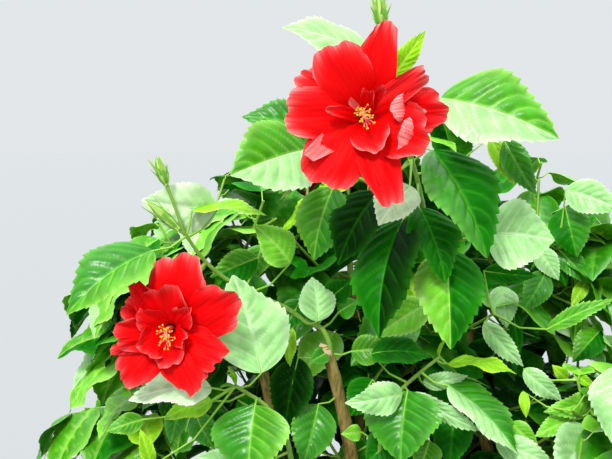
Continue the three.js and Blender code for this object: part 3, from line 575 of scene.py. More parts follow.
spray_limb = {row[0]: row[4] if row[5] is None else row[0] + "_bough" for row in SPRAYS}
leaders, twigs = {}, []
for seed, (name, bearing, *_) in enumerate(SPRAYS, 1):
    leaders[name] = leader_line(name, bearing)
    for i, share in enumerate(np.linspace(TWIG["first"], TWIG["last"], TWIG["per_spray"])):
        draw = seeded(seed * 100 + i + 1)
        turn = i * GOLDEN_ANGLE + TWIG["turn_spread"] * draw()
        reach = twig_reach(TWIG["length"], draw)
        twig = twig_from(leaders[name], share, turn, reach, keeps_to(name))
        if twig is None:
            continue
        twigs.append((name, twig, draw))
        for k, side_share in enumerate(TWIG["side_twigs"], 1):
            fine = twig_from(twig, side_share, turn + k * GOLDEN_ANGLE,
                             twig_reach(TWIG["side_length"], draw), keeps_to(name))
            if fine is not None:
                twigs.append((name, fine, draw))
inner_twigs = []
for seed, name in enumerate(stem_names, 1):
    places = np.linspace(INNER_TWIG["first"], INNER_TWIG["last"], INNER_TWIG["per_stem"])
    for i, share in enumerate(places):
        draw = seeded(INNER_TWIG["seed"] + seed * 100 + i)
        reach = twig_reach(INNER_TWIG["length"], draw)
        turn = i * GOLDEN_ANGLE + TWIG["turn_spread"] * draw()
        twig = twig_from(limbs[name], share, turn, reach, behind_front)
        if twig is not None:
            inner_twigs.append((twig, draw))
fine_lines = [twig for _, twig, _ in twigs] + [twig for twig, _ in inner_twigs]

# Green bark of this year's shoots, smooth and slightly waxy, with yellower streaks.
green_bark, tree, shader = finish_of("green_shoot_bark")
place = add(tree, "ShaderNodeTexCoord").outputs["Object"]
streaks = add(tree, "ShaderNodeTexNoise", {"Vector": place, "Scale": 1 / (9 * MM), "Detail": 3})
colour = add(tree, "ShaderNodeMix", {
    "Factor": streaks.outputs["Fac"], "A": linear("#4F7F22"), "B": linear("#9CC44A")},
    data_type="RGBA")
tree.links.new(colour.outputs["Result"], shader.inputs["Base Color"])
shader.inputs["Roughness"].default_value = 0.45


def green_chain(limb, step):
    share = np.linspace(0, 1, max(int(limb.length / step), 3) + 1)
    return limb.at(share), limb.radius(share)


green_lines = [*shoots.values(), *leaders.values()]
green_wood = skinned("green_shoots", [green_chain(line, SHOOT["step"]) for line in green_lines],
                     SHOOT["sides"], green_bark, SHOOT["relief"], SHOOT["relief_size"])
fine_wood = skinned("green_twigs", [green_chain(line, TWIG["step"]) for line in fine_lines],
                    TWIG["sides"], green_bark)
spray_nodes = [row[0] + "_spray" for row in SPRAYS] + [name + "_spray" for name in SHOWN_MIDDLES]
fitted(green_wood, "foliage", *spray_nodes)
fitted(fine_wood, "foliage", *spray_nodes)

# Leaves of the front
# Broad glossy blades with a toothed margin, a folded midrib and six pairs of sunken veins, with the
# blade quilted between them. Each stands on the shoot where the photograph shows it.
LEAF = {"teeth": 13, "front_grid": (5, 13), "hidden_grid": (4, 8), "tooth": 0.03,
        "tooth_lean": 0.8, "toothed_from": 0.1, "base_power": 0.66, "tip_power": 1.12, "veins": 6.5,
        "vein_slant": 0.34, "vein_width": 0.16, "midrib_width": 0.9, "quilt": 0.026, "waves": 1.7,
        "edge_droop": 0.6, "stalk_foot": 1.25, "stalk_tip": 0.85, "stalk_sag": 0.12,
        "midrib_foot": 0.75, "midrib_tip": 0.2}
# Tones of the living leaf: blade, veins, roughness and gloss. Young, fresh and mature are the
# leaf's own greens. Shaded and deep are painted shade, dark greens for blades in shadow. Pale and
# the near-white tone are painted sheen, whitish greens for the sky's reflection on the wax. Light
# is painted light, a brighter green for blades lit through.
TONES = {
    "young": ("#7CC008", "#C8EA50", 0.4, 0.15), "fresh": ("#3E9004", "#9CD656", 0.34, 0.25),
    "mature": ("#277C06", "#6CB83C", 0.3, 0.3), "shaded": ("#0A6400", "#3C9A1C", 0.42, 0.06),
    "deep": ("#042C00", "#226C0C", 0.44, 0.04), "pale": ("#90CA76", "#D2F0BE", 0.36, 0.4),
    "light": ("#66B820", "#B8E874", 0.36, 0.2), "silver": ("#C0E0AC", "#EAF8DC", 0.4, 0.4),
}
# Rows: shoot, place along it, stalk and blade each as length, bearing and rise, width, roll about
# the midrib, tone (one for each side of the midrib where they differ, which paints one side lighter
# and the other darker as the light falls on them), then how far the blade folds, arches and waves.
FRONT_LEAVES = [
    ("upper", 325, (18, 111, -20), (84, 200, 17), 55, -40, "pale", 0.10, 0.07, 0.03),
    ("upper", 310, (19, 310, -65), (42, 341, 54), 16, 100, "young", 0.30, 0.06, 0.05),
    ("upper", 281, (40, 323, -10), (93, 337, -19), 66, 50, "pale/fresh", 0.25, 0.08, 0.04),
    ("upper", 246, (31, 310, -24), (94, 315, -57), 66, 14, "mature/shaded", 0.36, 0.08, 0.03),
    ("upper", 225, (30, 260, -42), (44, 217, -42), 36, -30, "silver", 0.15, 0.08, 0.04),
    ("upper", 195, (31, 227, -45), (99, 240, -64), 62, 15, "shaded/deep", 0.25, 0.10, 0.04),
    ("upper", 203, (23, 268, -60), (66, 302, -60), 43, 10, "shaded", 0.45, 0.08, 0.07),
    ("left_twig", 98, (13, 221, 17), (76, 217, -14), 66, -55, "fresh/pale", 0.22, 0.06, 0.04),
    ("left_twig", 100, (24, 90, 41), (66, 183, 12), 44, -50, "mature", 0.2, 0.08, 0.04),
    ("left_twig", 44, (23, 283, -11), (69, 208, -56), 45, -30, "deep", 0.3, 0.12, 0.05),
    ("left_twig", 75, (19, 247, -53), (63, 192, -75), 44, -55, "fresh/mature", 0.25, 0.12, 0.04),
    ("right_twig", 46, (8, 291, 20), (55, 349, -4), 61, 60, "pale", 0.15, 0.08, 0.05),
    ("right_twig", 26, (25, 235, -12), (83, 267, -61), 54, 3, "light/shaded", 0.25, 0.1, 0.04),
    ("left", 214, (30, 213, -19), (82, 211, -32), 56, -25, "mature/fresh", 0.38, 0.1, 0.03),
    ("left", 199, (21, 39, 74), (62, 350, -3), 42, 5, "young", 0.1, 0.08, 0.03),
    ("left", 116, (30, 50, 56), (44, 196, -20), 27, -75, "fresh/shaded", 0.3, 0.07, 0.04),
    ("left", 48, (13, 316, 14), (41, 102, 60), 34, 10, "pale", 0.25, 0.1, 0.05),
    ("near_left", 100, (32, 318, 35), (88, 120, 54), 64, -5, "pale", 0.12, 0.06, 0.06),
    ("near_left", 82, (12, 269, -4), (58, 261, -61), 66, 10, "mature/fresh", 0.14, 0.06, 0.03),
    ("near_left", 102, (21, 194, 2), (67, 198, -3), 44, -20, "silver", 0.2, 0.08, 0.04),
    ("near_left", 92, (34, 160, -19), (42, 198, -16), 28, -25, "young", 0.2, 0.08, 0.04),
    ("near_left", 104, (2, 190, 50), (17, 150, 62), 7, 0, "young", 0.9, 0.05, 0.02),
    ("near_left", 105, (3, 130, 60), (14, 205, 48), 6, 10, "young", 0.9, 0.05, 0.02),
    ("near_left", 105, (2, 230, 20), (15, 215, 5), 6, 0, "fresh", 0.9, 0.1, 0.02),
    ("near_middle", 80, (17, 290, 22), (60, 255, -56), 66, 15, "mature", 0.15, 0.08, 0.05),
    ("near_middle", 91, (40, 162, 35), (52, 354, -2), 36, 25, "shaded", 0.2, 0.1, 0.04),
    ("near_middle", 106, (27, 326, -16), (78, 329, -38), 51, 10, "pale/mature", 0.3, 0.08, 0.04),
    ("near_middle", 124, (11, 357, -18), (59, 340, -3), 38, 0, "young", 0.15, 0.08, 0.05),
    ("near_middle", 126, (2, 20, 70), (17, 10, 66), 7, 0, "young", 0.9, 0.05, 0.02),
]

# Leaves half hidden behind the front ones, by the place of the blade's foot. Each is borne by the
# nearest green wood. Rows: foot, blade as length, bearing and rise, width, roll and tone.
# Their shaded and deep tones are painted shade, and the pale and near-white ones are painted sheen.
HALF_HIDDEN_LEAVES = [
    ((-149, -112, 1195), (62, 194, 10), 42, -94, "silver"),
    ((-88, -116, 1152), (44, 191, 47), 34, -62, "light"),
    ((-114, -65, 1159), (35, 240, -62), 24, -24, "fresh"),
    ((-54, -71, 1112), (27, 338, 41), 25, 103, "shaded"),
    ((-46, -73, 1099), (23, 334, 34), 20, 81, "mature"),
    ((-87, -85, 1088), (34, 249, -81), 12, -1, "young"),
    ((-82, -79, 1059), (64, 238, -70), 38, -21, "deep"),
    ((-55, -78, 1064), (21, 213, -16), 15, -62, "mature"),
    ((-26, -98, 997), (21, 207, 6), 14, -67, "light"),
    ((-64, -85, 1018), (55, 242, -57), 39, -36, "mature"),
    ((34, -72, 1107), (57, 196, -29), 32, -50, "light"),
    ((6, -126, 1043), (52, 198, -3), 27, -82, "pale"),
    ((16, -117, 1040), (65, 341, -24), 15, 83, "pale"),
    ((59, -85, 1013), (50, 247, -69), 36, -1, "shaded"),
    ((28, -92, 1040), (40, 347, 14), 15, 82, "pale"),
    ((89, -48, 1132), (47, 347, -3), 18, 89, "shaded"),
    ((152, -29, 1127), (46, 211, -50), 26, -54, "mature"),
    ((109, -31, 1114), (41, 275, -60), 26, 10, "pale"),
    ((89, -55, 1085), (52, 328, -43), 20, 77, "pale"),
    ((120, -39, 1093), (42, 296, -74), 12, 50, "shaded"),
    ((126, -41, 1073), (21, 343, -17), 8, 75, "deep"),
    ((146, -21, 1149), (36, 320, -53), 21, 61, "pale"),
    ((165, -16, 1149), (39, 308, -71), 16, 65, "shaded"),
    ((166, -21, 1147), (42, 330, -46), 21, 65, "mature"),
    ((195, -17, 1140), (25, 344, -23), 13, 83, "light"),
    ((192, -25, 1117), (28, 207, -50), 13, -45, "young"),
    ((169, -25, 1188), (48, 295, -68), 38, 49, "shaded/mature"),
    ((164, -38, 1206), (51, 333, -18), 31, 73, "pale"),
    ((141, -75, 1084), (64, 354, 27), 15, 52, "fresh"),
    ((120, -80, 1049), (42, 336, -36), 19, 81, "pale"),
    ((159, -81, 1040), (21, 192, 42), 11, -97, "young"),
    ((164, -80, 1047), (25, 340, -34), 9, 85, "young"),
    ((177, -94, 1026), (48, 194, -9), 19, -77, "light"),
    ((158, -96, 1008), (38, 199, -17), 18, -46, "light"),
    ((174, -102, 1002), (58, 218, -34), 44, -43, "pale"),
    ((106, -96, 1005), (29, 329, -33), 18, 74, "light"),
    ((90, -108, 993), (53, 340, -17), 24, 62, "pale"),
    ((118, -88, 1031), (23, 279, -69), 9, 23, "young"),
    ((169, -176, 1083), (60, 238, -62), 38, 9, "pale"),
    ((90, -102, 1253), (52, 326, -57), 23, 82, "mature"),
    ((79, -97, 1255), (45, 331, -61), 15, 65, "young"),
    ((77, -82, 1039), (15, 336, -21), 9, 69, "deep"),
    ((150, -8, 1095), (56, 210, -54), 33, -43, "mature/shaded"),
    ((213, -12, 1066), (44, 204, -40), 27, -47, "fresh/shaded"),
    ((-210, -134, 1023), (31, 201, -11), 17, -57, "fresh"),
    ((-203, -140, 985), (34, 182, 75), 12, -75, "young"),
    ((-185, -104, 1023), (32, 246, -61), 19, -31, "mature"),
    ((-171, -105, 1016), (33, 321, -49), 23, 50, "mature"),
    ((-134, -130, 982), (35, 195, 18), 22, -79, "pale"),
    ((-135, -94, 1025), (34, 335, -30), 23, 62, "shaded"),
    ((-114, -81, 1112), (34, 198, 55), 23, -90, "mature"),
    ((-80, -72, 1110), (31, 224, -51), 23, -47, "mature/shaded"),
    ((-34, -73, 1063), (36, 353, 8), 27, 74, "fresh"),
    ((-15, -77, 1038), (38, 205, -54), 31, -55, "shaded"),
    ((1, -99, 990), (31, 207, -29), 32, -52, "shaded"),
    ((34, -99, 990), (27, 232, -53), 28, -27, "fresh"),
]
HIDDEN_FORMS = [(0.2, 0.1, 0.04), (0.3, 0.07, 0.03), (0.14, 0.12, 0.06)]
LEAF_END = 2.5  # the last leaf stands this far short of its twig's end


def leaf_blade(length, width, fold, arch, wave, chance, teeth, rows_per_tooth, columns):
    """A blade along +X, face up: points, faces, and how much each point is vein or rim."""
    rows = teeth * rows_per_tooth
    t = np.linspace(0, 1, rows + 1)[:, None]
    v = np.linspace(-1, 1, 2 * columns + 1)[None, :]
    side = np.abs(v)
    half = t ** LEAF["base_power"] * (1 - t) ** LEAF["tip_power"]
    half = half / half.max() * width / length / 2
    saw = (t * teeth) % 1.0
    past = np.clip((t - LEAF["toothed_from"]) / (1 - LEAF["toothed_from"]), 0, 1)
    toothed = LEAF["tooth"] * saw * np.sin(np.pi * past) ** 0.5 * side ** 8
    across = v * half + np.sign(v) * toothed
    along = t + LEAF["tooth_lean"] * toothed
    panel = (t - LEAF["vein_slant"] * side ** 1.2 * (1 - 0.35 * t) + 0.04) * LEAF["veins"]
    from_vein = np.abs((panel + 0.5) % 1.0 - 0.5) * 2
    bulge = (from_vein ** 0.6 * np.clip(side * 5, 0, 1) * (1 - 0.7 * side ** 4)
             * np.sin(np.pi * t) ** 0.4)
    phase = LEAF["waves"] * t + np.where(v < 0, chance, 1.7 - chance)
    height = (LEAF["quilt"] * bulge + fold * np.sqrt(across ** 2 + 0.0004) + 4 * arch * t * (1 - t)
              + wave * side ** 2 * np.sin(2 * np.pi * phase) * np.sin(np.pi * t)
              - LEAF["edge_droop"] * fold * side ** 3 * half)
    midrib = np.exp(-(across * length / LEAF["midrib_width"]) ** 2)
    side_vein = 0.75 * np.exp(-(from_vein / LEAF["vein_width"]) ** 2) * (1 - side ** 3)
    vein = np.maximum(midrib, side_vein)
    points = np.stack([along, across, height], -1).reshape(-1, 3) * length
    marks = {"vein": vein.ravel(), "rim": np.broadcast_to(side ** 6, vein.shape).ravel()}
    return points, grid_faces(rows + 1, 2 * columns + 1), marks


def leaf_frame(bearing, rise, roll):
    """Forward, side and face of a blade, as the columns of a turn."""
    forward, level = pointing(bearing, rise), pointing(bearing + 90, 0)
    above = np.cross(forward, level)
    lean = math.radians(roll)
    return np.stack([forward, level * math.cos(lean) + above * math.sin(lean),
                     above * math.cos(lean) - level * math.sin(lean)], 1)


def stalk_chain(root, base, turn, length, arch, thick=1.0, ribs=(0.12, 0.35, 0.6, 0.85)):
    """The chain of a leaf's stalk, which runs on along the blade as its midrib."""
    sag = np.array([0, 0, -LEAF["stalk_sag"] * np.linalg.norm(base - root)])
    t = np.array(ribs)
    rib = base + (np.stack([t, 0 * t, 4 * arch * t * (1 - t)], 1) * length) @ turn.T
    points = np.concatenate([[root, (root + base) / 2 + sag, base], rib])
    rib_foot = LEAF["stalk_tip"] * LEAF["midrib_foot"]
    radii = np.concatenate([[LEAF["stalk_foot"], LEAF["stalk_tip"], LEAF["stalk_tip"]],
                            np.linspace(rib_foot, LEAF["midrib_tip"], len(t))])
    return points, radii * thick


def leaf_finish(name, blade, vein, roughness, gloss):
    """Living leaf with a waxy gloss: pale veins and rim on a mottled, finely pored green."""
    material, tree, shader = finish_of(name)
    place = add(tree, "ShaderNodeTexCoord").outputs["Object"]
    mottle = add(tree, "ShaderNodeTexNoise", {"Vector": place, "Scale": 1 / (14 * MM), "Detail": 4})
    depth = add(tree, "ShaderNodeMapRange", {
        "Value": mottle.outputs["Fac"], "From Min": 0.3, "From Max": 0.7, "To Min": 0.72,
        "To Max": 1.25})
    ground = add(tree, "ShaderNodeMix", {
        "Factor": 1.0, "A": linear(blade), "B": depth.outputs["Result"]},
        data_type="RGBA", blend_type="MULTIPLY")
    veins = add(tree, "ShaderNodeAttribute", attribute_name="vein")
    rim = add(tree, "ShaderNodeAttribute", attribute_name="rim")
    pale = add(tree, "ShaderNodeMath", {0: veins.outputs["Fac"], 1: rim.outputs["Fac"]},
               operation="MAXIMUM")
    share = add(tree, "ShaderNodeMath", {0: pale.outputs["Value"], 1: 0.6}, operation="MULTIPLY")
    colour = add(tree, "ShaderNodeMix", {
        "Factor": share.outputs["Value"], "A": ground.outputs["Result"], "B": linear(vein)},
        data_type="RGBA")
    tree.links.new(colour.outputs["Result"], shader.inputs["Base Color"])
    cells = add(tree, "ShaderNodeTexVoronoi", {"Vector": place, "Scale": 1 / (3.5 * MM)},
                feature="F1")
    bump = add(tree, "ShaderNodeBump", {"Height": cells.outputs["Distance"], "Strength": 0.25,
                                        "Distance": 0.5 * MM})
    tree.links.new(bump.outputs["Normal"], shader.inputs["Normal"])
    shader.inputs["Roughness"].default_value = roughness
    shader.inputs["Specular IOR Level"].default_value = gloss
    return material


class Heap:
    """Points, faces and marks of many like shapes that become one piece."""

    def __init__(self, *labels):
        self.points, self.faces, self.marks, self.count = [], [], {label: [] for label in labels}, 0

    def put(self, points, faces, marks):
        self.points.append(points)
        self.faces.extend([tuple(self.count + k for k in face) for face in faces])
        self.count += len(points)
        for label in self.marks:
            self.marks[label].append(marks[label])

    def piece(self, name, material):
        marks = {label: np.concatenate(parts) for label, parts in self.marks.items()}
        return smooth_piece(name, np.concatenate(self.points), self.faces, material, marks)


def put_leaf(heaps, tone, shape, marks, columns):
    """Adds a blade to its tone's heap, or the two sides of its midrib to a heap each, with the two
    tones painting one side lit and the other in shade.
    """
    wide = 2 * columns + 1
    rows = len(shape) // wide
    cuts = [(0, columns + 1), (columns, wide)] if "/" in tone else [(0, wide)]
    for own, (first, last) in zip(tone.split("/"), cuts):
        keep = np.arange(rows * wide).reshape(rows, wide)[:, first:last].ravel()
        heaps[own].put(shape[keep], grid_faces(rows, last - first),
                       {label: values[keep] for label, values in marks.items()})


stem_tops = [Limb(limbs[name].at(np.linspace(0.5, 1, 40))) for name in stem_names]
wood_points = np.concatenate([line.at(np.linspace(0.02, 0.99, 80))
                              for line in [*green_lines, *stem_tops, *fine_lines]])
shown = []
for shoot, place, stalk, blade, width, roll, tone, *form in FRONT_LEAVES:
    line = shoots[shoot]
    root = line.at(min(place, line.length - LEAF_END) / line.length)
    base = root + pointing(*stalk[1:]) * stalk[0]
    shown.append((root, base, blade, width, roll, tone, form, LEAF["front_grid"]))
for row, (base, blade, width, roll, tone) in enumerate(HALF_HIDDEN_LEAVES):
    root = wood_points[np.argmin(np.linalg.norm(wood_points - base, axis=1))]
    form = HIDDEN_FORMS[row % len(HIDDEN_FORMS)]
    shown.append((root, np.array(base, float), blade, width, roll, tone, form, LEAF["hidden_grid"]))
stalk_chains = []
front = {tone: Heap("vein", "rim") for tone in TONES}
for row, (root, base, blade, width, roll, tone, form, grid) in enumerate(shown, 1):
    length, *way = blade
    turn = leaf_frame(*way, roll)
    shape, _, marks = leaf_blade(length, width, *form, seeded(row)(), LEAF["teeth"], *grid)
    put_leaf(front, tone, base + shape @ turn.T, marks, grid[1])
    stalk_chains.append(stalk_chain(root, base, turn, length, form[1]))
leaf_skins = {tone: leaf_finish(tone + "_leaf", *TONES[tone]) for tone in TONES}
for tone, heap in front.items():
    fitted(heap.piece("front_leaves_" + tone, leaf_skins[tone]), "foliage", *spray_nodes)

# Leaves of the crown
# The same blades, hundreds of them, set round every twig and hanging a little: yellow-green at the
# tips, and deep inside a dark green that is painted shade, with painted sheen, light and shade
# dealt among the rest. Those high in the crown's front half are nearly as finely made as the front
# ones, each in its own shape, and the others share three plainer forms.
CROWN_LEAF = {"length": 92, "width_share": 0.68, "stalk": 16, "spacing": 21, "bare_share": 0.22,
              "turn_spread": 90, "tries": 6, "try_turn": 75, "cross_over": 30, "clear": 2,
              "tip_leaves": 5, "tip_spacing": 13, "tip_seed": 50, "young_tips": 2,
              "young_share": 0.45, "young_size": 0.62, "stalk_thickness": 0.8, "ribs": (0.3, 0.8)}
CARRIAGE = {"twig_share": 0.5, "out_share": 0.6, "stalk_slope": 0.6, "stalk_lift": 10,
            "slope_share": 0.4, "droop": 42, "droop_spread": 46, "smallest": 0.72,
            "size_spread": 0.42, "bearing_spread": 24, "roll_spread": 50}
# The tip of a blade and the widest places of its sides, as shares of its length.
CORNERS = np.array([(1, 0, 0), (0.4, 0.34, 0), (0.4, -0.34, 0)])
# How far each form folds, arches and waves.
FORMS = [(0.22, 0.10, 0.04), (0.38, 0.06, 0.06), (0.28, 0.14, 0.08)]
PLAIN_FORM = {"chances": (0.3, 0.5, 0.7), "grid": (6, 2, 2), "gloss": 0.3}
CLOSE = {"front": 120, "above": 860, "grid": (2, 5), "seed": 5000}
# How deep in the crown a leaf is still fresh, or mature. Deeper ones take the deep tone, which is
# painted shade.
DEPTH = {"deepest_level": 0.98, "fresh": 0.16, "fresh_spread": 0.2, "mature": 0.5}
# The tones that leaves of one age and depth take in turn, for the close and for the plainer ones.
# Besides the leaves' own greens, they deal out painted shade (shaded, deep), painted sheen (pale)
# and painted light (light).
CLOSE_MIX = {
    "young": ["young", "light"],
    "fresh": ["light", "fresh/mature", "fresh", "pale/light", "fresh/shaded"],
    "mature": ["mature", "fresh/mature", "mature/shaded"],
    "deep": ["shaded", "mature", "deep/shaded"],
}
PLAIN_MIX = {
    "young": ["young", "young", "light"],
    "fresh": ["fresh", "light", "mature", "fresh", "pale", "fresh"],
    "mature": ["mature", "fresh", "mature", "deep"],
    "deep": ["deep", "mature"],
}
# Colour and roughness of the plainer leaves, whose waxy blades show one plain green each. The deep
# green is painted shade, the pale one is painted sheen and the light one is painted light.
PLAIN_TONES = {"young": ("#86C018", 0.36), "light": ("#6EB82C", 0.36), "fresh": ("#48980E", 0.32),
               "mature": ("#2C8208", 0.32), "deep": ("#0E5A04", 0.36), "pale": ("#90C474", 0.36)}
SPRAY_NAMES, SHOWN_NAMES = tuple(row[0] for row in SPRAYS), tuple(SHOWN_MIDDLES)


def ruled_leaf(way, outward, turn, draw):
    """Bearing and rise of the stalk, then those of the blade, its roll and its size."""
    around = unit(np.cross(outward, way))
    across = np.cross(way, around)
    lead = (way * CARRIAGE["twig_share"] + around * math.cos(turn) - across * math.sin(turn)
            + outward * CARRIAGE["out_share"])
    bearing = math.degrees(math.atan2(lead[1], lead[0]))
    slope = math.degrees(math.asin(lead[2] / np.linalg.norm(lead)))
    size = CARRIAGE["smallest"] + CARRIAGE["size_spread"] * draw()
    aside = CARRIAGE["bearing_spread"] * (draw() - 0.5)
    rise = (CARRIAGE["slope_share"] * slope - CARRIAGE["droop"]
            + CARRIAGE["droop_spread"] * (draw() - 0.5))
    roll = CARRIAGE["roll_spread"] * (draw() - 0.5)
    stalk = (bearing, slope * CARRIAGE["stalk_slope"] + CARRIAGE["stalk_lift"])
    return stalk, bearing + aside, rise, roll, size


def depth_in_crown(point):
    """How deep a point lies, from 0 at the crown's skin to 1 at its middle line."""
    level = min(abs(point[2] - CROWN["widest"]) / crown_reach(point), DEPTH["deepest_level"])
    return 1 - math.hypot(point[0], point[1]) / crown_radius(level)


def leaf_tone(depth, young, draw):
    if young:
        return "young"
    if depth < DEPTH["fresh"] + DEPTH["fresh_spread"] * draw():
        return "fresh"
    # Beyond the mature depth a leaf takes the deep tone, a dark green of painted shade.
    return "mature" if depth < DEPTH["mature"] else "deep"


def leaf_room(own):
    """The test of a spray's leaves, which may cross a little into the other ruled sprays."""
    def fits(corner):
        return (in_space(corner, own, -CROWN_LEAF["cross_over"], SPRAY_NAMES)
                and in_space(corner, own, CROWN_LEAF["clear"], SHOWN_NAMES)
                and in_crown(corner, CROWN_LEAF["clear"]))
    return fits


def inner_room(corner):
    """The test of the leaves on old wood."""
    return behind_front(corner, CROWN_LEAF["clear"])


crown_leaves, close_leaves, fine_stalks = [], [], []


def hang_leaf(fits, line, at, turn, outward, draw, young):
    """Hangs one leaf on a line, turned to the first side on which it stays in its room."""
    share = min(at, line.length - LEAF_END) / line.length
    root, way = line.at(share), line.way(share)
    for k in range(CROWN_LEAF["tries"]):
        try_turn = math.radians(turn + k * CROWN_LEAF["try_turn"])
        stalk, bearing, rise, roll, size = ruled_leaf(way, outward, try_turn, draw)
        size *= CROWN_LEAF["young_size"] if young else 1
        length = CROWN_LEAF["length"] * size
        base = root + pointing(*stalk) * CROWN_LEAF["stalk"] * size
        blade_turn = leaf_frame(bearing, rise, roll)
        corners = base + (CORNERS * length) @ blade_turn.T
        if not all(fits(corner) for corner in corners):
            continue
        form = int(draw() * len(FORMS))
        tone = leaf_tone(depth_in_crown(corners[0]), young, draw)
        near = base[1] < CLOSE["front"] and base[2] > CLOSE["above"]
        leaves = close_leaves if near else crown_leaves
        leaves.append((tone, base, blade_turn, length, form))
        fine_stalks.append(stalk_chain(root, base, blade_turn, length, FORMS[form][1],
                                       CROWN_LEAF["stalk_thickness"], CROWN_LEAF["ribs"]))
        return


bearings = {row[0]: row[1] for row in SPRAYS}
leafy_twigs = [(leaf_room(name), bearings[name], twig, draw) for name, twig, draw in twigs]
for twig, draw in inner_twigs:
    end = twig.points[-1]
    leafy_twigs.append((inner_room, math.degrees(math.atan2(end[1], end[0])), twig, draw))
for fits, bearing, twig, draw in leafy_twigs:
    place, count = twig.length, 0
    while place > CROWN_LEAF["bare_share"] * twig.length:
        turn = count * GOLDEN_ANGLE + CROWN_LEAF["turn_spread"] * draw()
        young = count == 0 and draw() < CROWN_LEAF["young_share"]
        hang_leaf(fits, twig, place, turn, pointing(bearing, OUTWARD_RISE), draw, young)
        place -= CROWN_LEAF["spacing"]
        count += 1
for seed, name in enumerate(SPRAY_NAMES, 1):
    leader, outward = leaders[name], pointing(bearings[name], OUTWARD_RISE)
    for i in range(CROWN_LEAF["tip_leaves"]):
        draw = seeded(seed * 100 + CROWN_LEAF["tip_seed"] + i)
        hang_leaf(leaf_room(name), leader, leader.length - i * CROWN_LEAF["tip_spacing"],
                  i * GOLDEN_ANGLE, outward, draw, i < CROWN_LEAF["young_tips"])

close = {tone: Heap("vein", "rim") for tone in TONES}
for row, (tone, base, turn, length, form) in enumerate(close_leaves):
    mix = CLOSE_MIX[tone]
    shape, _, marks = leaf_blade(length, length * CROWN_LEAF["width_share"], *FORMS[form],
                                 seeded(CLOSE["seed"] + row)(), LEAF["teeth"], *CLOSE["grid"])
    put_leaf(close, mix[row % len(mix)], base + shape @ turn.T, marks, CLOSE["grid"][1])
for tone, heap in close.items():
    if heap.count:
        fitted(heap.piece("close_leaves_" + tone, leaf_skins[tone]), "foliage", *spray_nodes)

# Puts a copy of one of the leaf forms on every point, turned and sized as the point says.
leaf_tree, sizes, end = geometry_tree("leaves_on_points", {
    "Forms": "NodeSocketCollection", "Finish": "NodeSocketMaterial"})
forms = add(leaf_tree, "GeometryNodeCollectionInfo", {
    "Collection": sizes["Forms"], "Separate Children": True, "Reset Children": True})
turned = add(leaf_tree, "GeometryNodeInputNamedAttribute", {"Name": "turned"},
             data_type="FLOAT_VECTOR")
sized = add(leaf_tree, "GeometryNodeInputNamedAttribute", {"Name": "sized"}, data_type="FLOAT")
form = add(leaf_tree, "GeometryNodeInputNamedAttribute", {"Name": "form"}, data_type="INT")
hung = add(leaf_tree, "GeometryNodeInstanceOnPoints", {
    "Points": sizes["Geometry"], "Instance": forms.outputs["Instances"], "Pick Instance": True,
    "Instance Index": form.outputs["Attribute"], "Rotation": turned.outputs["Attribute"],
    "Scale": sized.outputs["Attribute"]})
single = add(leaf_tree, "GeometryNodeRealizeInstances", {"Geometry": hung.outputs["Instances"]})
finished = add(leaf_tree, "GeometryNodeSetMaterial", {
    "Geometry": single.outputs["Geometry"], "Material": sizes["Finish"]})
leaf_tree.links.new(finished.outputs["Geometry"], end.inputs["Geometry"])


def form_store(name, shapes, finish):
    """A collection of forms to hang on points. Rows of shapes: name, points and faces."""
    store = bpy.data.collections.new(name)
    bpy.context.scene.collection.children.link(store)
    for label, points, faces in shapes:
        form = smooth_piece(label, points, faces, finish)
        bpy.context.collection.objects.unlink(form)
        store.objects.link(form)
    return store


def hung_piece(name, store, finish, points, turns, sizes, forms):
    """One piece with a form from the store on each point, turned and sized as given for it."""
    piece = new_piece(name, points, marks={"turned": turns, "sized": sizes, "form": forms})
    grown(piece, leaf_tree, {"Forms": store, "Finish": finish})
    piece.data.shade_smooth()
    return piece


def put_away(store):
    for form in list(store.objects):
        bpy.data.objects.remove(form)
    bpy.data.collections.remove(store)


def plain_finish(name, colour, roughness, gloss=0.5):
    """A finish of one colour all over."""
    material, _, shader = finish_of(name)
    shader.inputs["Base Color"].default_value = linear(colour)
    shader.inputs["Roughness"].default_value = roughness
    shader.inputs["Specular IOR Level"].default_value = gloss
    return material


shapes = []
for k, (form, chance) in enumerate(zip(FORMS, PLAIN_FORM["chances"])):
    shape, faces, _ = leaf_blade(1 / MM, CROWN_LEAF["width_share"] / MM, *form, chance,
                                 *PLAIN_FORM["grid"])
    shapes.append((f"leaf_form_{k}", shape, faces))
leaf_forms = form_store("leaf_forms", shapes, bark)
plain = {tone: [] for tone in PLAIN_TONES}
for row, (tone, *leaf) in enumerate(crown_leaves):
    mix = PLAIN_MIX[tone]
    plain[mix[row % len(mix)]].append(leaf)
for tone, leaves in plain.items():
    finish = plain_finish(tone + "_crown_leaf", *PLAIN_TONES[tone], PLAIN_FORM["gloss"])
    bases, turns, lengths, forms = zip(*leaves)
    turns = [tuple(Matrix(turn.tolist()).to_euler()) for turn in turns]
    piece = hung_piece("crown_leaves_" + tone, leaf_forms, finish, bases, turns,
                       np.array(lengths) * MM, forms)
    fitted(piece, "foliage", *spray_nodes)
put_away(leaf_forms)

# Leaf stalks
# Slender yellow-green stalks that bear the blades and run on under them as midribs.
STALK_SIDES = {"front": 6, "crown": 4}
# Green skin of the stalk, smooth and half glossy.
stalk_skin = plain_finish("leaf_stalk", "#8FC63C", 0.4)
for own, chains in (("front", stalk_chains), ("crown", fine_stalks)):
    fitted(skinned(own + "_leaf_stalks", chains, STALK_SIDES[own], stalk_skin), "foliage")

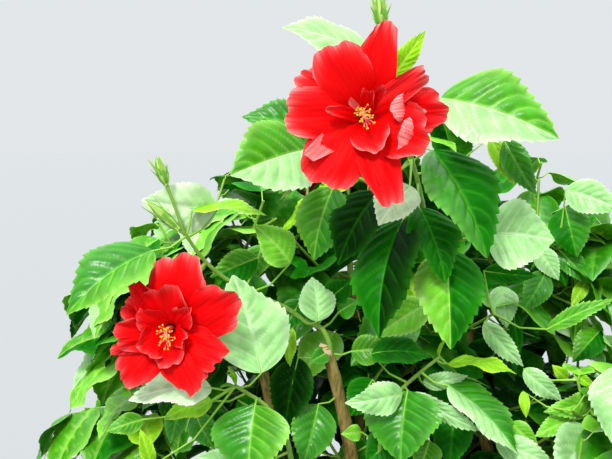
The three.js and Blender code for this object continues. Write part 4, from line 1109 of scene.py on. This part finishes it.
# Petals
# Each bloom is double: crumpled petals of deep red tissue spread from one throat, with smaller ones
# crowded round the middle. They are soft and velvety, ruffled at the rim and faintly veined.
BLOOM = {"throat": 26, "room": 40, "lift": 15, "step": 4, "clear": 0.3, "rise": 8, "root_at": 0.9,
         "turn_each": 70, "seed": 900}
PETAL = {"rows": 26, "columns": 15, "row_power": 0.9, "neck": 0.1, "full_at": 0.8,
         "taper_from": 0.45, "corner": 0.9, "longest": 1.08, "frill": 0.55, "crumple": 0.4,
         "pleat": 0.3}
# Rows: clock bearing from the right, reach, width, lift of the tip, how much it tapers, how far the
# rim rolls forward, twist in degrees, bend to the left of its own way, ruffle, and paleness: up to
# 1 for a pale rim alone, which is a painted highlight, and above 1 for a petal that shows its paler
# back. The last is how far the tip folds over towards the throat.
UPPER_PETALS = [
    (4, 57, 36, 4, 0.1, -3, 10, 0, 5, 0.5, 0), (35, 57, 21, 11, 0.3, 4, -14, 0, 5, 1.05, 0.2),
    (90, 64, 44, 4, 0.62, 2, -6, -14, 3, 1.0, 0), (115, 54, 40, 9, 0.0, -4, -8, 2, 3, 0.7, 0),
    (150, 57, 30, -4, 0.1, 2, 10, 0, 4, 1.0, 0.1), (177, 56, 38, 6, 0.05, -3, 6, 0, 4, 0.8, 0),
    (234, 58, 46, 10, 0.0, -3, 10, 0, 4, 0.4, 0), (285, 66, 38, 11, 0.5, 0, -14, 4, 5, 0.5, 0),
    (337, 50, 42, 12, 0.0, 5, 12, 0, 5, 0.6, 0.1), (10, 38, 26, 12, 0.3, 2, -8, 0, 1.5, 1.9, 1.1),
    (54, 27, 9, 12, 0.3, 2, -20, 0, 1, 0.4, 0.2), (338, 50, 40, 13, 0.0, 2, -12, 0, 2.5, 1.8, 1.0),
    (80, 22, 12, 9, 0.2, 3, -14, 0, 3, 0.4, 0.3), (217, 62, 20, 15, 0.5, 1, 12, 0, 0.8, 1.6, 0.45),
    (288, 30, 30, 9, 0.05, 3, 8, 0, 3, 0.9, 0.2), (172, 30, 12, 8, 0.5, 2, 20, 0, 2, 0.7, 0.2),
    (124, 18, 5, 17, 0.0, 2, 40, 3, 0, 2.0, 0.3),
]
LEFT_PETALS = [
    (77, 64, 46, 4, 0.0, -2, -6, 0, 5, 0.8, 0), (113, 55, 28, 8, 0.7, 2, 15, 6, 5, 0.6, 0),
    (28, 62, 42, 4, 0.0, 0, 8, 0, 4, 0.5, 0), (139, 45, 22, 6, 0.1, 2, 16, 0, 5, 0.4, 0.2),
    (176, 38, 30, 12, 0.1, 2, 10, 0, 5, 0.4, 0), (202, 44, 17, 8, 0.5, 2, 10, -4, 4, 0.5, 0),
    (226, 49, 36, 10, 0.15, 0, 6, 0, 5, 0.5, 0), (291, 47, 44, 14, 0.3, -2, 10, 5, 5, 0.2, 0),
    (340, 47, 34, 12, 0.1, 0, -18, 0, 5, 0.2, 0), (92, 42, 40, 7, 0.0, 3, -8, 0, 5, 0.5, 0.1),
    (135, 31, 24, 8, 0.2, 3, 12, 0, 4, 0.4, 0.2), (48, 33, 24, 8, 0.2, 3, -10, 0, 4, 0.5, 0.25),
    (350, 21, 18, 12, 0.2, 3, -12, 0, 3, 0.9, 0.3), (275, 27, 28, 9, 0.1, 3, 8, 0, 4, 0.6, 0.2),
    (205, 25, 30, 12, 0.1, 4, 8, 0, 4, 0.6, 0.25),
]

def petal_shape(clock, reach, width, lift, taper, curl, twist, bend, ruffle, pale, hook, chance):
    """One petal in its bloom's frame: right, up and forward. Its marks are how far out and across
    each point lies, and how pale it is, from its paler back and from a highlight painted along its
    rim."""
    throat, columns = BLOOM["throat"], PETAL["columns"]
    s = np.linspace(0, 1, PETAL["rows"] + 1)[:, None] ** PETAL["row_power"]
    v = np.linspace(-1, 1, 2 * columns + 1)[None, :]
    line = Limb(cubic([(1.2, 0, 0), (2.5, throat * 0.8, 0),
                       (reach * (0.4 + 0.8 * hook), throat + lift * 0.2 + 5 - 4 * hook, 0),
                       (reach * (1 - 0.45 * hook), throat + lift, 0)]))

    def on_line(run):
        return np.stack([np.interp(run, line.run, line.points[:, k]) for k in (0, 1)])

    widening = np.clip(s / PETAL["full_at"], 0, 1)
    past = np.clip((s - PETAL["taper_from"]) / (1 - PETAL["taper_from"]), 0, 1)
    half = (width / 2 * (PETAL["neck"] + (1 - PETAL["neck"]) * widening * (2 - widening))
            * (1 - taper * past))
    end = half[-1, 0]
    corner = min(end, reach * 0.5) * PETAL["corner"] * (1 - np.sqrt(1 - 0.97 * v ** 2))
    lobes = (0.045 * np.sin(4.5 * v + 13 * chance) + 0.018 * np.sin(11 * v + 29 * chance)
             + 0.005 * np.sin(31 * v + 8 * chance)) * min(1, end / 16) * ruffle / 6
    run = line.length * s * (1 + lobes * s ** 4) - corner * s ** 3
    run = np.clip(run, 0, line.length * PETAL["longest"])
    inside = np.minimum(run, line.length)
    out, forward = on_line(inside)
    slope = on_line(inside + 1) - on_line(inside - 1)
    slope /= np.linalg.norm(slope, axis=0)
    rim = 1 - (1 - s ** 3) * (1 - v ** 2 * s)
    turning = np.arctan2(v, (s - 0.35) * 1.6)
    frill = (np.sin(5 * turning + 9 * chance) + 0.6 * np.sin(9 * turning + 21 * chance)
             + 0.4 * np.sin(16 * turning + 33 * chance))
    crumple = np.sin(7 * s + 3 * v + 17 * chance) * np.sin(5 * v - 2 * s + 5 * chance) * s
    pleats = np.sin(30 * v + 3 * np.sin(5 * s)) * s
    stand = (PETAL["frill"] * ruffle * rim ** 2.2 * frill + curl * rim ** 3
             + PETAL["crumple"] * ruffle * crumple + PETAL["pleat"] * pleats)
    turn = np.radians(twist) * s ** 1.5
    side = v * half * (1 + 0.5 * lobes) * np.cos(turn) + bend * s ** 2
    stand = stand + v * half * np.sin(turn)
    out = out + (run - inside) * slope[0] - stand * slope[1]
    forward = forward + (run - inside) * slope[1] + stand * slope[0]
    angle = math.radians(clock)
    right = out * math.cos(angle) - side * math.sin(angle)
    up = out * math.sin(angle) + side * math.cos(angle)
    stripes = 0.5 + 0.5 * np.sin(11 * v + 4 * np.sin(6 * s + 7 * chance) + 19 * chance)
    back = np.clip((s - 0.6 * hook) * 4, 0, 1)
    pale_back_and_rim_highlight = (min(pale, 1) * rim ** 8 * (0.35 + 0.65 * stripes)
                + max(pale - 1, 0) * back * (0.7 + 0.3 * stripes))
    marks = {"outward": np.broadcast_to(s, right.shape).ravel(),
             "across": np.broadcast_to(v, right.shape).ravel(),
             "pale": np.clip(pale_back_and_rim_highlight, 0, 1).ravel()}
    points = np.stack([right, up, forward], -1).reshape(-1, 3)
    return points, grid_faces(PETAL["rows"] + 1, 2 * columns + 1), marks


# Petal tissue, matt: deep red, darker in the throat and pinker at the rim, where the pink is a
# painted highlight, with fine lines from throat to rim.
petal_skin, tree, shader = finish_of("hibiscus_petal")
outward = add(tree, "ShaderNodeAttribute", attribute_name="outward")
across = add(tree, "ShaderNodeAttribute", attribute_name="across")
lines = add(tree, "ShaderNodeCombineXYZ", {"X": across.outputs["Fac"], "Y": outward.outputs["Fac"]})
lines = add(tree, "ShaderNodeMapping", {"Vector": lines.outputs["Vector"], "Scale": (9, 0.8, 1)})
veins = add(tree, "ShaderNodeTexNoise", {
    "Vector": lines.outputs["Vector"], "Scale": 2.0, "Detail": 3})
reds = add(tree, "ShaderNodeValToRGB", {"Fac": outward.outputs["Fac"]})
reds.color_ramp.elements[0].color = linear("#6E0004")
reds.color_ramp.elements[1].color = linear("#EC000A")
reds.color_ramp.elements.new(0.35).color = linear("#E00000")
depth = add(tree, "ShaderNodeMapRange", {
    "Value": veins.outputs["Fac"], "From Min": 0.35, "From Max": 0.65, "To Min": 0.88,
    "To Max": 1.04})
deep_reds = add(tree, "ShaderNodeMix", {
    "Factor": 1.0, "A": reds.outputs["Color"], "B": depth.outputs["Result"]},
    data_type="RGBA", blend_type="MULTIPLY")
streak = add(tree, "ShaderNodeMapRange", {
    "Value": veins.outputs["Fac"], "From Min": 0.35, "From Max": 0.65, "To Min": 0.45})
# The pale mark mixes in a pale pink: the petal's paler back, and a highlight painted along the rim.
pale = add(tree, "ShaderNodeAttribute", attribute_name="pale")
share = add(tree, "ShaderNodeMath", {0: streak.outputs["Result"], 1: pale.outputs["Fac"]},
            operation="MULTIPLY")
colour = add(tree, "ShaderNodeMix", {
    "Factor": share.outputs["Value"], "A": deep_reds.outputs["Result"], "B": linear("#FFA6A2")},
    data_type="RGBA")
tree.links.new(colour.outputs["Result"], shader.inputs["Base Color"])
bump = add(tree, "ShaderNodeBump", {
    "Height": veins.outputs["Fac"], "Strength": 0.35, "Distance": 0.8 * MM})
tree.links.new(bump.outputs["Normal"], shader.inputs["Normal"])
shader.inputs["Roughness"].default_value = 0.6
shader.inputs["Specular IOR Level"].default_value = 0.08


def bloom_frame(bearing, rise):
    """Right, up and forward of a bloom, as the columns of a turn."""
    facing = pointing(bearing, rise)
    right = pointing(bearing + 90, 0)
    return np.stack([right, np.cross(facing, right), facing], 1)


# Rows: name, middle, bearing and rise of the face, petals, turn about the throat, stalk's foot.
flowers = [
    ("upper_bloom", (-34, -200, 1273), (265, 2), UPPER_PETALS, 0, shoots["upper"].at(0.78)),
    ("left_bloom", (-182, -168, 1106), (268, 0), LEFT_PETALS, 0, shoots["left"].at(0.836)),
]
for seed, name in enumerate(SPRAY_NAMES, 1):
    if name in FLOWERING:
        outward = pointing(bearings[name], OUTWARD_RISE)
        centre = middles[name] + (0, 0, BLOOM["lift"])
        while in_space(centre + outward * BLOOM["room"], name, BLOOM["clear"]):
            centre = centre + outward * BLOOM["step"]
        flowers.append((name + "_bloom", centre, (bearings[name], BLOOM["rise"]), LEFT_PETALS,
                        BLOOM["turn_each"] * seed, leaders[name].at(BLOOM["root_at"])))
blooms = {}
for seed, (name, centre, facing, rows, spin, root) in enumerate(flowers, BLOOM["seed"]):
    turn = bloom_frame(*facing)
    calyx = centre - turn[:, 2] * BLOOM["throat"]
    blooms[name] = calyx, turn, root
    heap = Heap("outward", "across", "pale")
    draw = seeded(seed)
    for clock, *form in rows:
        shape, faces, marks = petal_shape(clock + spin, *form, draw())
        heap.put(calyx + shape @ turn.T, faces, marks)
    fitted(heap.piece(name + "_petals", petal_skin), "petals", name)

# Stamens
# A pale column stands up out of each throat, leaning a little. It carries thirty hair-fine
# filaments with a bright yellow anther each, and ends in five short styles with round red stigmas.
COLUMN = {"foot": 2.3, "tip": 1.1, "start": 2, "upright": 0.6, "lean": (-4, 8), "lean_above": 5,
          "end": (2, -4), "out": 17, "left_out": 8, "samples": 16, "sides": 12}
STYLE = {"count": 5, "length": 4.5, "first": 20, "rise": 35, "sides": 8}
# A style is a thread with a round head. Rows: share of its length, and radius there.
STYLE_FORM = np.array([(0, 0.3), (0.4, 0.25), (0.75, 0.3), (0.9, 0.75), (1.0, 0.4)])
FILAMENT = {"count": 30, "from": 0.62, "length": 7, "shortest": 0.7, "length_spread": 0.6,
            "rise": 25, "rise_spread": 45, "elbow": 0.6, "sag": 0.4, "radii": (0.3, 0.25, 0.2),
            "sides": 4, "seed": 950}
ANTHER = {"size": 0.78, "flatness": 0.8, "height": 1.35, "belts": (-45, 0, 45), "sides": 6}
# Flesh of the column, smooth and salmon pink, dusty yellow pollen, and the velvety red stigma.
column_skin = plain_finish("staminal_column", "#F4A27E", 0.5)
anther_skin = plain_finish("anther_pollen", "#FFB414", 0.8)
stigma_skin = plain_finish("stigma", "#D63A50", 0.7)
columns, filaments, styles, anther_turns = [], [], [], []
for seed, (name, (calyx, turn, _)) in enumerate(blooms.items(), FILAMENT["seed"]):
    throat, out = BLOOM["throat"], COLUMN["left_out" if name == "left_bloom" else "out"]
    corners = [(0, 0, COLUMN["start"]), (0, 0, throat * COLUMN["upright"]),
               (*COLUMN["lean"], throat + COLUMN["lean_above"]), (*COLUMN["end"], throat + out)]
    column = Limb(calyx + cubic(corners) @ turn.T, COLUMN["foot"], COLUMN["tip"])
    share = np.linspace(0, 1, COLUMN["samples"])
    columns.append((column.at(share), column.radius(share)))
    for k in range(STYLE["count"]):
        way = turn @ pointing(360 * k / STYLE["count"] + STYLE["first"], STYLE["rise"])
        thread = column.at(1) + way * STYLE["length"] * STYLE_FORM[:, :1]
        styles.append((thread, STYLE_FORM[:, 1]))
    draw = seeded(seed)
    for k in range(FILAMENT["count"]):
        share = FILAMENT["from"] + (1 - FILAMENT["from"]) * (k + draw()) / FILAMENT["count"]
        rise = FILAMENT["rise"] + FILAMENT["rise_spread"] * draw()
        way, foot = turn @ pointing(k * GOLDEN_ANGLE, rise), column.at(share)
        reach = FILAMENT["length"] * (FILAMENT["shortest"] + FILAMENT["length_spread"] * draw())
        elbow = foot + way * reach * FILAMENT["elbow"]
        tip = foot + way * reach - (0, 0, FILAMENT["sag"])
        filaments.append((np.array([foot, elbow, tip]), np.array(FILAMENT["radii"])))
        anther_turns.append(np.radians((360 * draw(), 360 * draw(), 0)))
for name, chains, sides, finish in (
        ("staminal_columns", columns, COLUMN["sides"], column_skin),
        ("filaments", filaments, FILAMENT["sides"], column_skin),
        ("stigmas", styles, STYLE["sides"], stigma_skin)):
    fitted(skinned(name, chains, sides, finish), "petals")

belts = [(math.cos(a), math.sin(a)) for a in np.radians(ANTHER["belts"])]
bean = [(radius * math.cos(t), radius * math.sin(t) * ANTHER["flatness"], ANTHER["height"] * level)
        for radius, level in [(0, -1), *belts, (0, 1)]
        for t in np.linspace(0, 2 * math.pi, ANTHER["sides"], endpoint=False)]
bean_faces = grid_faces(len(belts) + 2, ANTHER["sides"], ring=True)
anther_form = form_store("anther_form", [("anther_bean", np.array(bean) / MM, bean_faces)],
                         anther_skin)
tips = [points[-1] for points, _ in filaments]
anthers = hung_piece("anthers", anther_form, anther_skin, tips, anther_turns,
                     [ANTHER["size"] * MM] * len(tips), [0] * len(tips))
fitted(anthers, "petals")
put_away(anther_form)

# Calyxes, bloom stalks and buds
# Behind each bloom a green cup of five sepals holds the petals on a slender stalk, with a ring of
# narrow bracts round it. A bud is the same cup still closed, under its five folded sepals, on a
# stalk of its own.
SEPALS = 5
CALYX = {"length": 24, "radius": 7.5, "rings": 14, "sides": 30, "ridge": 0.1, "jag": 0.1,
         "smallest": 0.05, "proud": 5, "bracts": 7, "bract_length": 15, "bract_width": 2.6,
         "bract_flare": 1.15, "bract_tone": 0.4}
PEDICEL = {"foot": 1.7, "swell": 0.6, "lift": 4, "into": 6, "samples": 8,
           "bud_radii": (1.5, 1.3, 1.5), "into_bud": 3, "sides": 8}
BRACT = {"rows": 7, "gap": 2, "flare_power": 1.5, "foot_width": 0.2, "keel": 0.15}
BUD = {"sepal_reach": 1.04, "sepal_flare": 1.25, "sepal_width": 4.4, "sepal_tone": 0.8,
       "bract_reach": 0.7, "bract_flare": 1.5}
# Rows: shoot, place along it, tip of the bud, its length and its radius.
BUDS = [("upper", 1, (-19, -129, 1366), 26, 6.0), ("left_twig", 0.9, (-98, -98, 1208), 24, 4.5),
        ("left", 1, (-193, -138, 1241), 24, 4.8), ("left", 0.98, (-203, -132, 1206), 35, 4.3)]
# Green sepals and bracts, matt and slightly downy, paler along their ridges.
sepal_skin, tree, shader = finish_of("green_sepal")
ridge = add(tree, "ShaderNodeAttribute", attribute_name="ridge")
colour = add(tree, "ShaderNodeMix", {
    "Factor": ridge.outputs["Fac"], "A": linear("#5C9E22"), "B": linear("#B9DC6C")},
    data_type="RGBA")
tree.links.new(colour.outputs["Result"], shader.inputs["Base Color"])
shader.inputs["Roughness"].default_value = 0.5


def cup_shape(length, radius, closed):
    """A ribbed cup of sepals that points along +Z, open at the rim or closed to a bud's tip."""
    share = np.linspace(0, 1, CALYX["rings"] + 1)[:, None]
    turn = np.linspace(0, 2 * math.pi, CALYX["sides"], endpoint=False)[None, :]
    wave = np.cos(SEPALS * turn)
    if closed:
        swell, jag = np.sin(np.pi * share ** 0.75) ** 0.8, 0
    else:
        swell, jag = np.sin(np.pi * (0.12 + 0.62 * share ** 0.8)), CALYX["jag"]
    around = radius * np.maximum(swell, CALYX["smallest"]) * (1 + CALYX["ridge"] * wave * share)
    up = share * length * (1 + jag * wave * share)
    ridge = (0.5 + 0.5 * wave) ** 3 * np.ones_like(share)
    shape = np.stack([around * np.cos(turn), around * np.sin(turn), up * np.ones_like(turn)], -1)
    faces = grid_faces(CALYX["rings"] + 1, CALYX["sides"], ring=True)
    return shape.reshape(-1, 3), faces, ridge.ravel()


def bract_shape(turn, flare, length, width):
    """One narrow bract or sepal that leaves the foot of a cup and curves up beside it."""
    s = np.linspace(0, 1, BRACT["rows"])[:, None]
    v = np.array([[-1, 0, 1]])
    out = BRACT["gap"] + flare * s ** BRACT["flare_power"]
    half = width / 2 * np.sin(np.pi * (BRACT["foot_width"] + (1 - BRACT["foot_width"]) * s)) ** 0.8
    up = length * s - BRACT["keel"] * np.abs(v) * half
    x = out * math.cos(turn) - v * half * math.sin(turn)
    y = out * math.sin(turn) + v * half * math.cos(turn)
    points = np.stack([x, y, up * np.ones_like(v)], -1).reshape(-1, 3)
    return points, grid_faces(BRACT["rows"], 3)


def along(way):
    """A turn whose third column is the way given."""
    way = unit(way)
    side = unit(np.cross(way, (0.3, 0.2, 1)))
    return np.stack([side, np.cross(way, side), way], 1)


holders, bloom_stalks = [], []
for calyx, frame_of_bloom, root in blooms.values():
    facing = frame_of_bloom[:, 2]
    back = calyx - facing * CALYX["length"]
    middle = (root + back) / 2 + (0, 0, PEDICEL["lift"])
    line = through([root, middle, back, back + facing * PEDICEL["into"]], PEDICEL["samples"])
    radii = np.linspace(PEDICEL["foot"], PEDICEL["foot"] + PEDICEL["swell"], len(line))
    bloom_stalks.append((line, radii))
    holders.append((back, facing, CALYX["length"] + CALYX["proud"], CALYX["radius"], False))
for shoot, share, tip, length, radius in BUDS:
    root, tip = shoots[shoot].at(share), np.array(tip, float)
    way = unit(tip - root)
    foot = tip - way * length
    line = np.array([root, (root + foot) / 2, foot + way * PEDICEL["into_bud"]])
    bloom_stalks.append((line, np.array(PEDICEL["bud_radii"])))
    holders.append((foot, way, length, radius, True))

cups = Heap("ridge")
for foot, way, length, radius, closed in holders:
    turn = along(way)
    shape, faces, ridge = cup_shape(length, radius, closed)
    cups.put(foot + shape @ turn.T, faces, {"ridge": ridge})
    # Rings of bracts or sepals: how many, place of the first, flare, length, width and tone.
    if closed:
        rings = [(SEPALS, 0.5, radius * BUD["sepal_flare"], length * BUD["sepal_reach"],
                  BUD["sepal_width"], BUD["sepal_tone"]),
                 (CALYX["bracts"], 0, radius * BUD["bract_flare"], length * BUD["bract_reach"],
                  CALYX["bract_width"], CALYX["bract_tone"])]
    else:
        rings = [(CALYX["bracts"], 0, radius * CALYX["bract_flare"], CALYX["bract_length"],
                  CALYX["bract_width"], CALYX["bract_tone"])]
    for count, first, *form, tone in rings:
        for k in range(count):
            shape, faces = bract_shape(2 * math.pi * (k + first) / count, *form)
            cups.put(foot + shape @ turn.T, faces, {"ridge": np.full(len(shape), tone)})
calyxes = cups.piece("calyxes_and_buds", sepal_skin)
pedicels = skinned("bloom_stalks", bloom_stalks, PEDICEL["sides"], green_bark)
for piece in (calyxes, pedicels):
    fitted(piece, "foliage")

# Stage, light and camera
# A plain pale floor under the plant, a bright even sky, one broad soft lamp, and the camera where
# the photograph was taken from: close to the crown and looking slightly down.
FLOOR = {"size": 60, "below": 0.001, "colour": "#999B9C", "roughness": 0.9}
SKY = {"colour": "#F4F8FA", "low": 0.3, "low_strength": 0.85, "high": 0.95, "high_strength": 2.4}
LAMP = {"strength": 2.6, "width": 12, "tilt": 44, "turn": -22}
CAMERA = {"place": (-0.075, -0.756, 1.270), "pitch": 8, "lens": 46, "sensor": 36, "nearest": 0.02}
bpy.ops.mesh.primitive_plane_add(size=FLOOR["size"], location=(0, 0, -FLOOR["below"]))
floor = bpy.context.object
floor.name = "floor"
# Matt pale floor paint.
floor.data.materials.append(plain_finish("pale_floor", FLOOR["colour"], FLOOR["roughness"]))

world = bpy.data.worlds.new("sky")
world.use_nodes = True
tree, sky = world.node_tree, world.node_tree.nodes["Background"]
place = add(tree, "ShaderNodeTexCoord")
upward = add(tree, "ShaderNodeSeparateXYZ", {"Vector": place.outputs["Generated"]})
glow = add(tree, "ShaderNodeMapRange", {
    "Value": upward.outputs["Z"], "From Min": SKY["low"], "From Max": SKY["high"],
    "To Min": SKY["low_strength"], "To Max": SKY["high_strength"]})
tree.links.new(glow.outputs["Result"], sky.inputs["Strength"])
sky.inputs["Color"].default_value = linear(SKY["colour"])
bpy.context.scene.world = world
bpy.context.scene.view_settings.view_transform = "Standard"

key = bpy.data.lights.new("key", "SUN")
key.energy = LAMP["strength"]
key.angle = math.radians(LAMP["width"])
key_lamp = bpy.data.objects.new("key", key)
key_lamp.rotation_euler = (math.radians(LAMP["tilt"]), 0, math.radians(LAMP["turn"]))
bpy.context.collection.objects.link(key_lamp)

view = bpy.data.cameras.new("camera")
view.lens = CAMERA["lens"]
view.sensor_width = CAMERA["sensor"]
view.clip_start = CAMERA["nearest"]
camera = bpy.data.objects.new("camera", view)
camera.location = CAMERA["place"]
camera.rotation_euler = (math.radians(90 - CAMERA["pitch"]), 0, 0)
bpy.context.collection.objects.link(camera)
bpy.context.scene.camera = camera
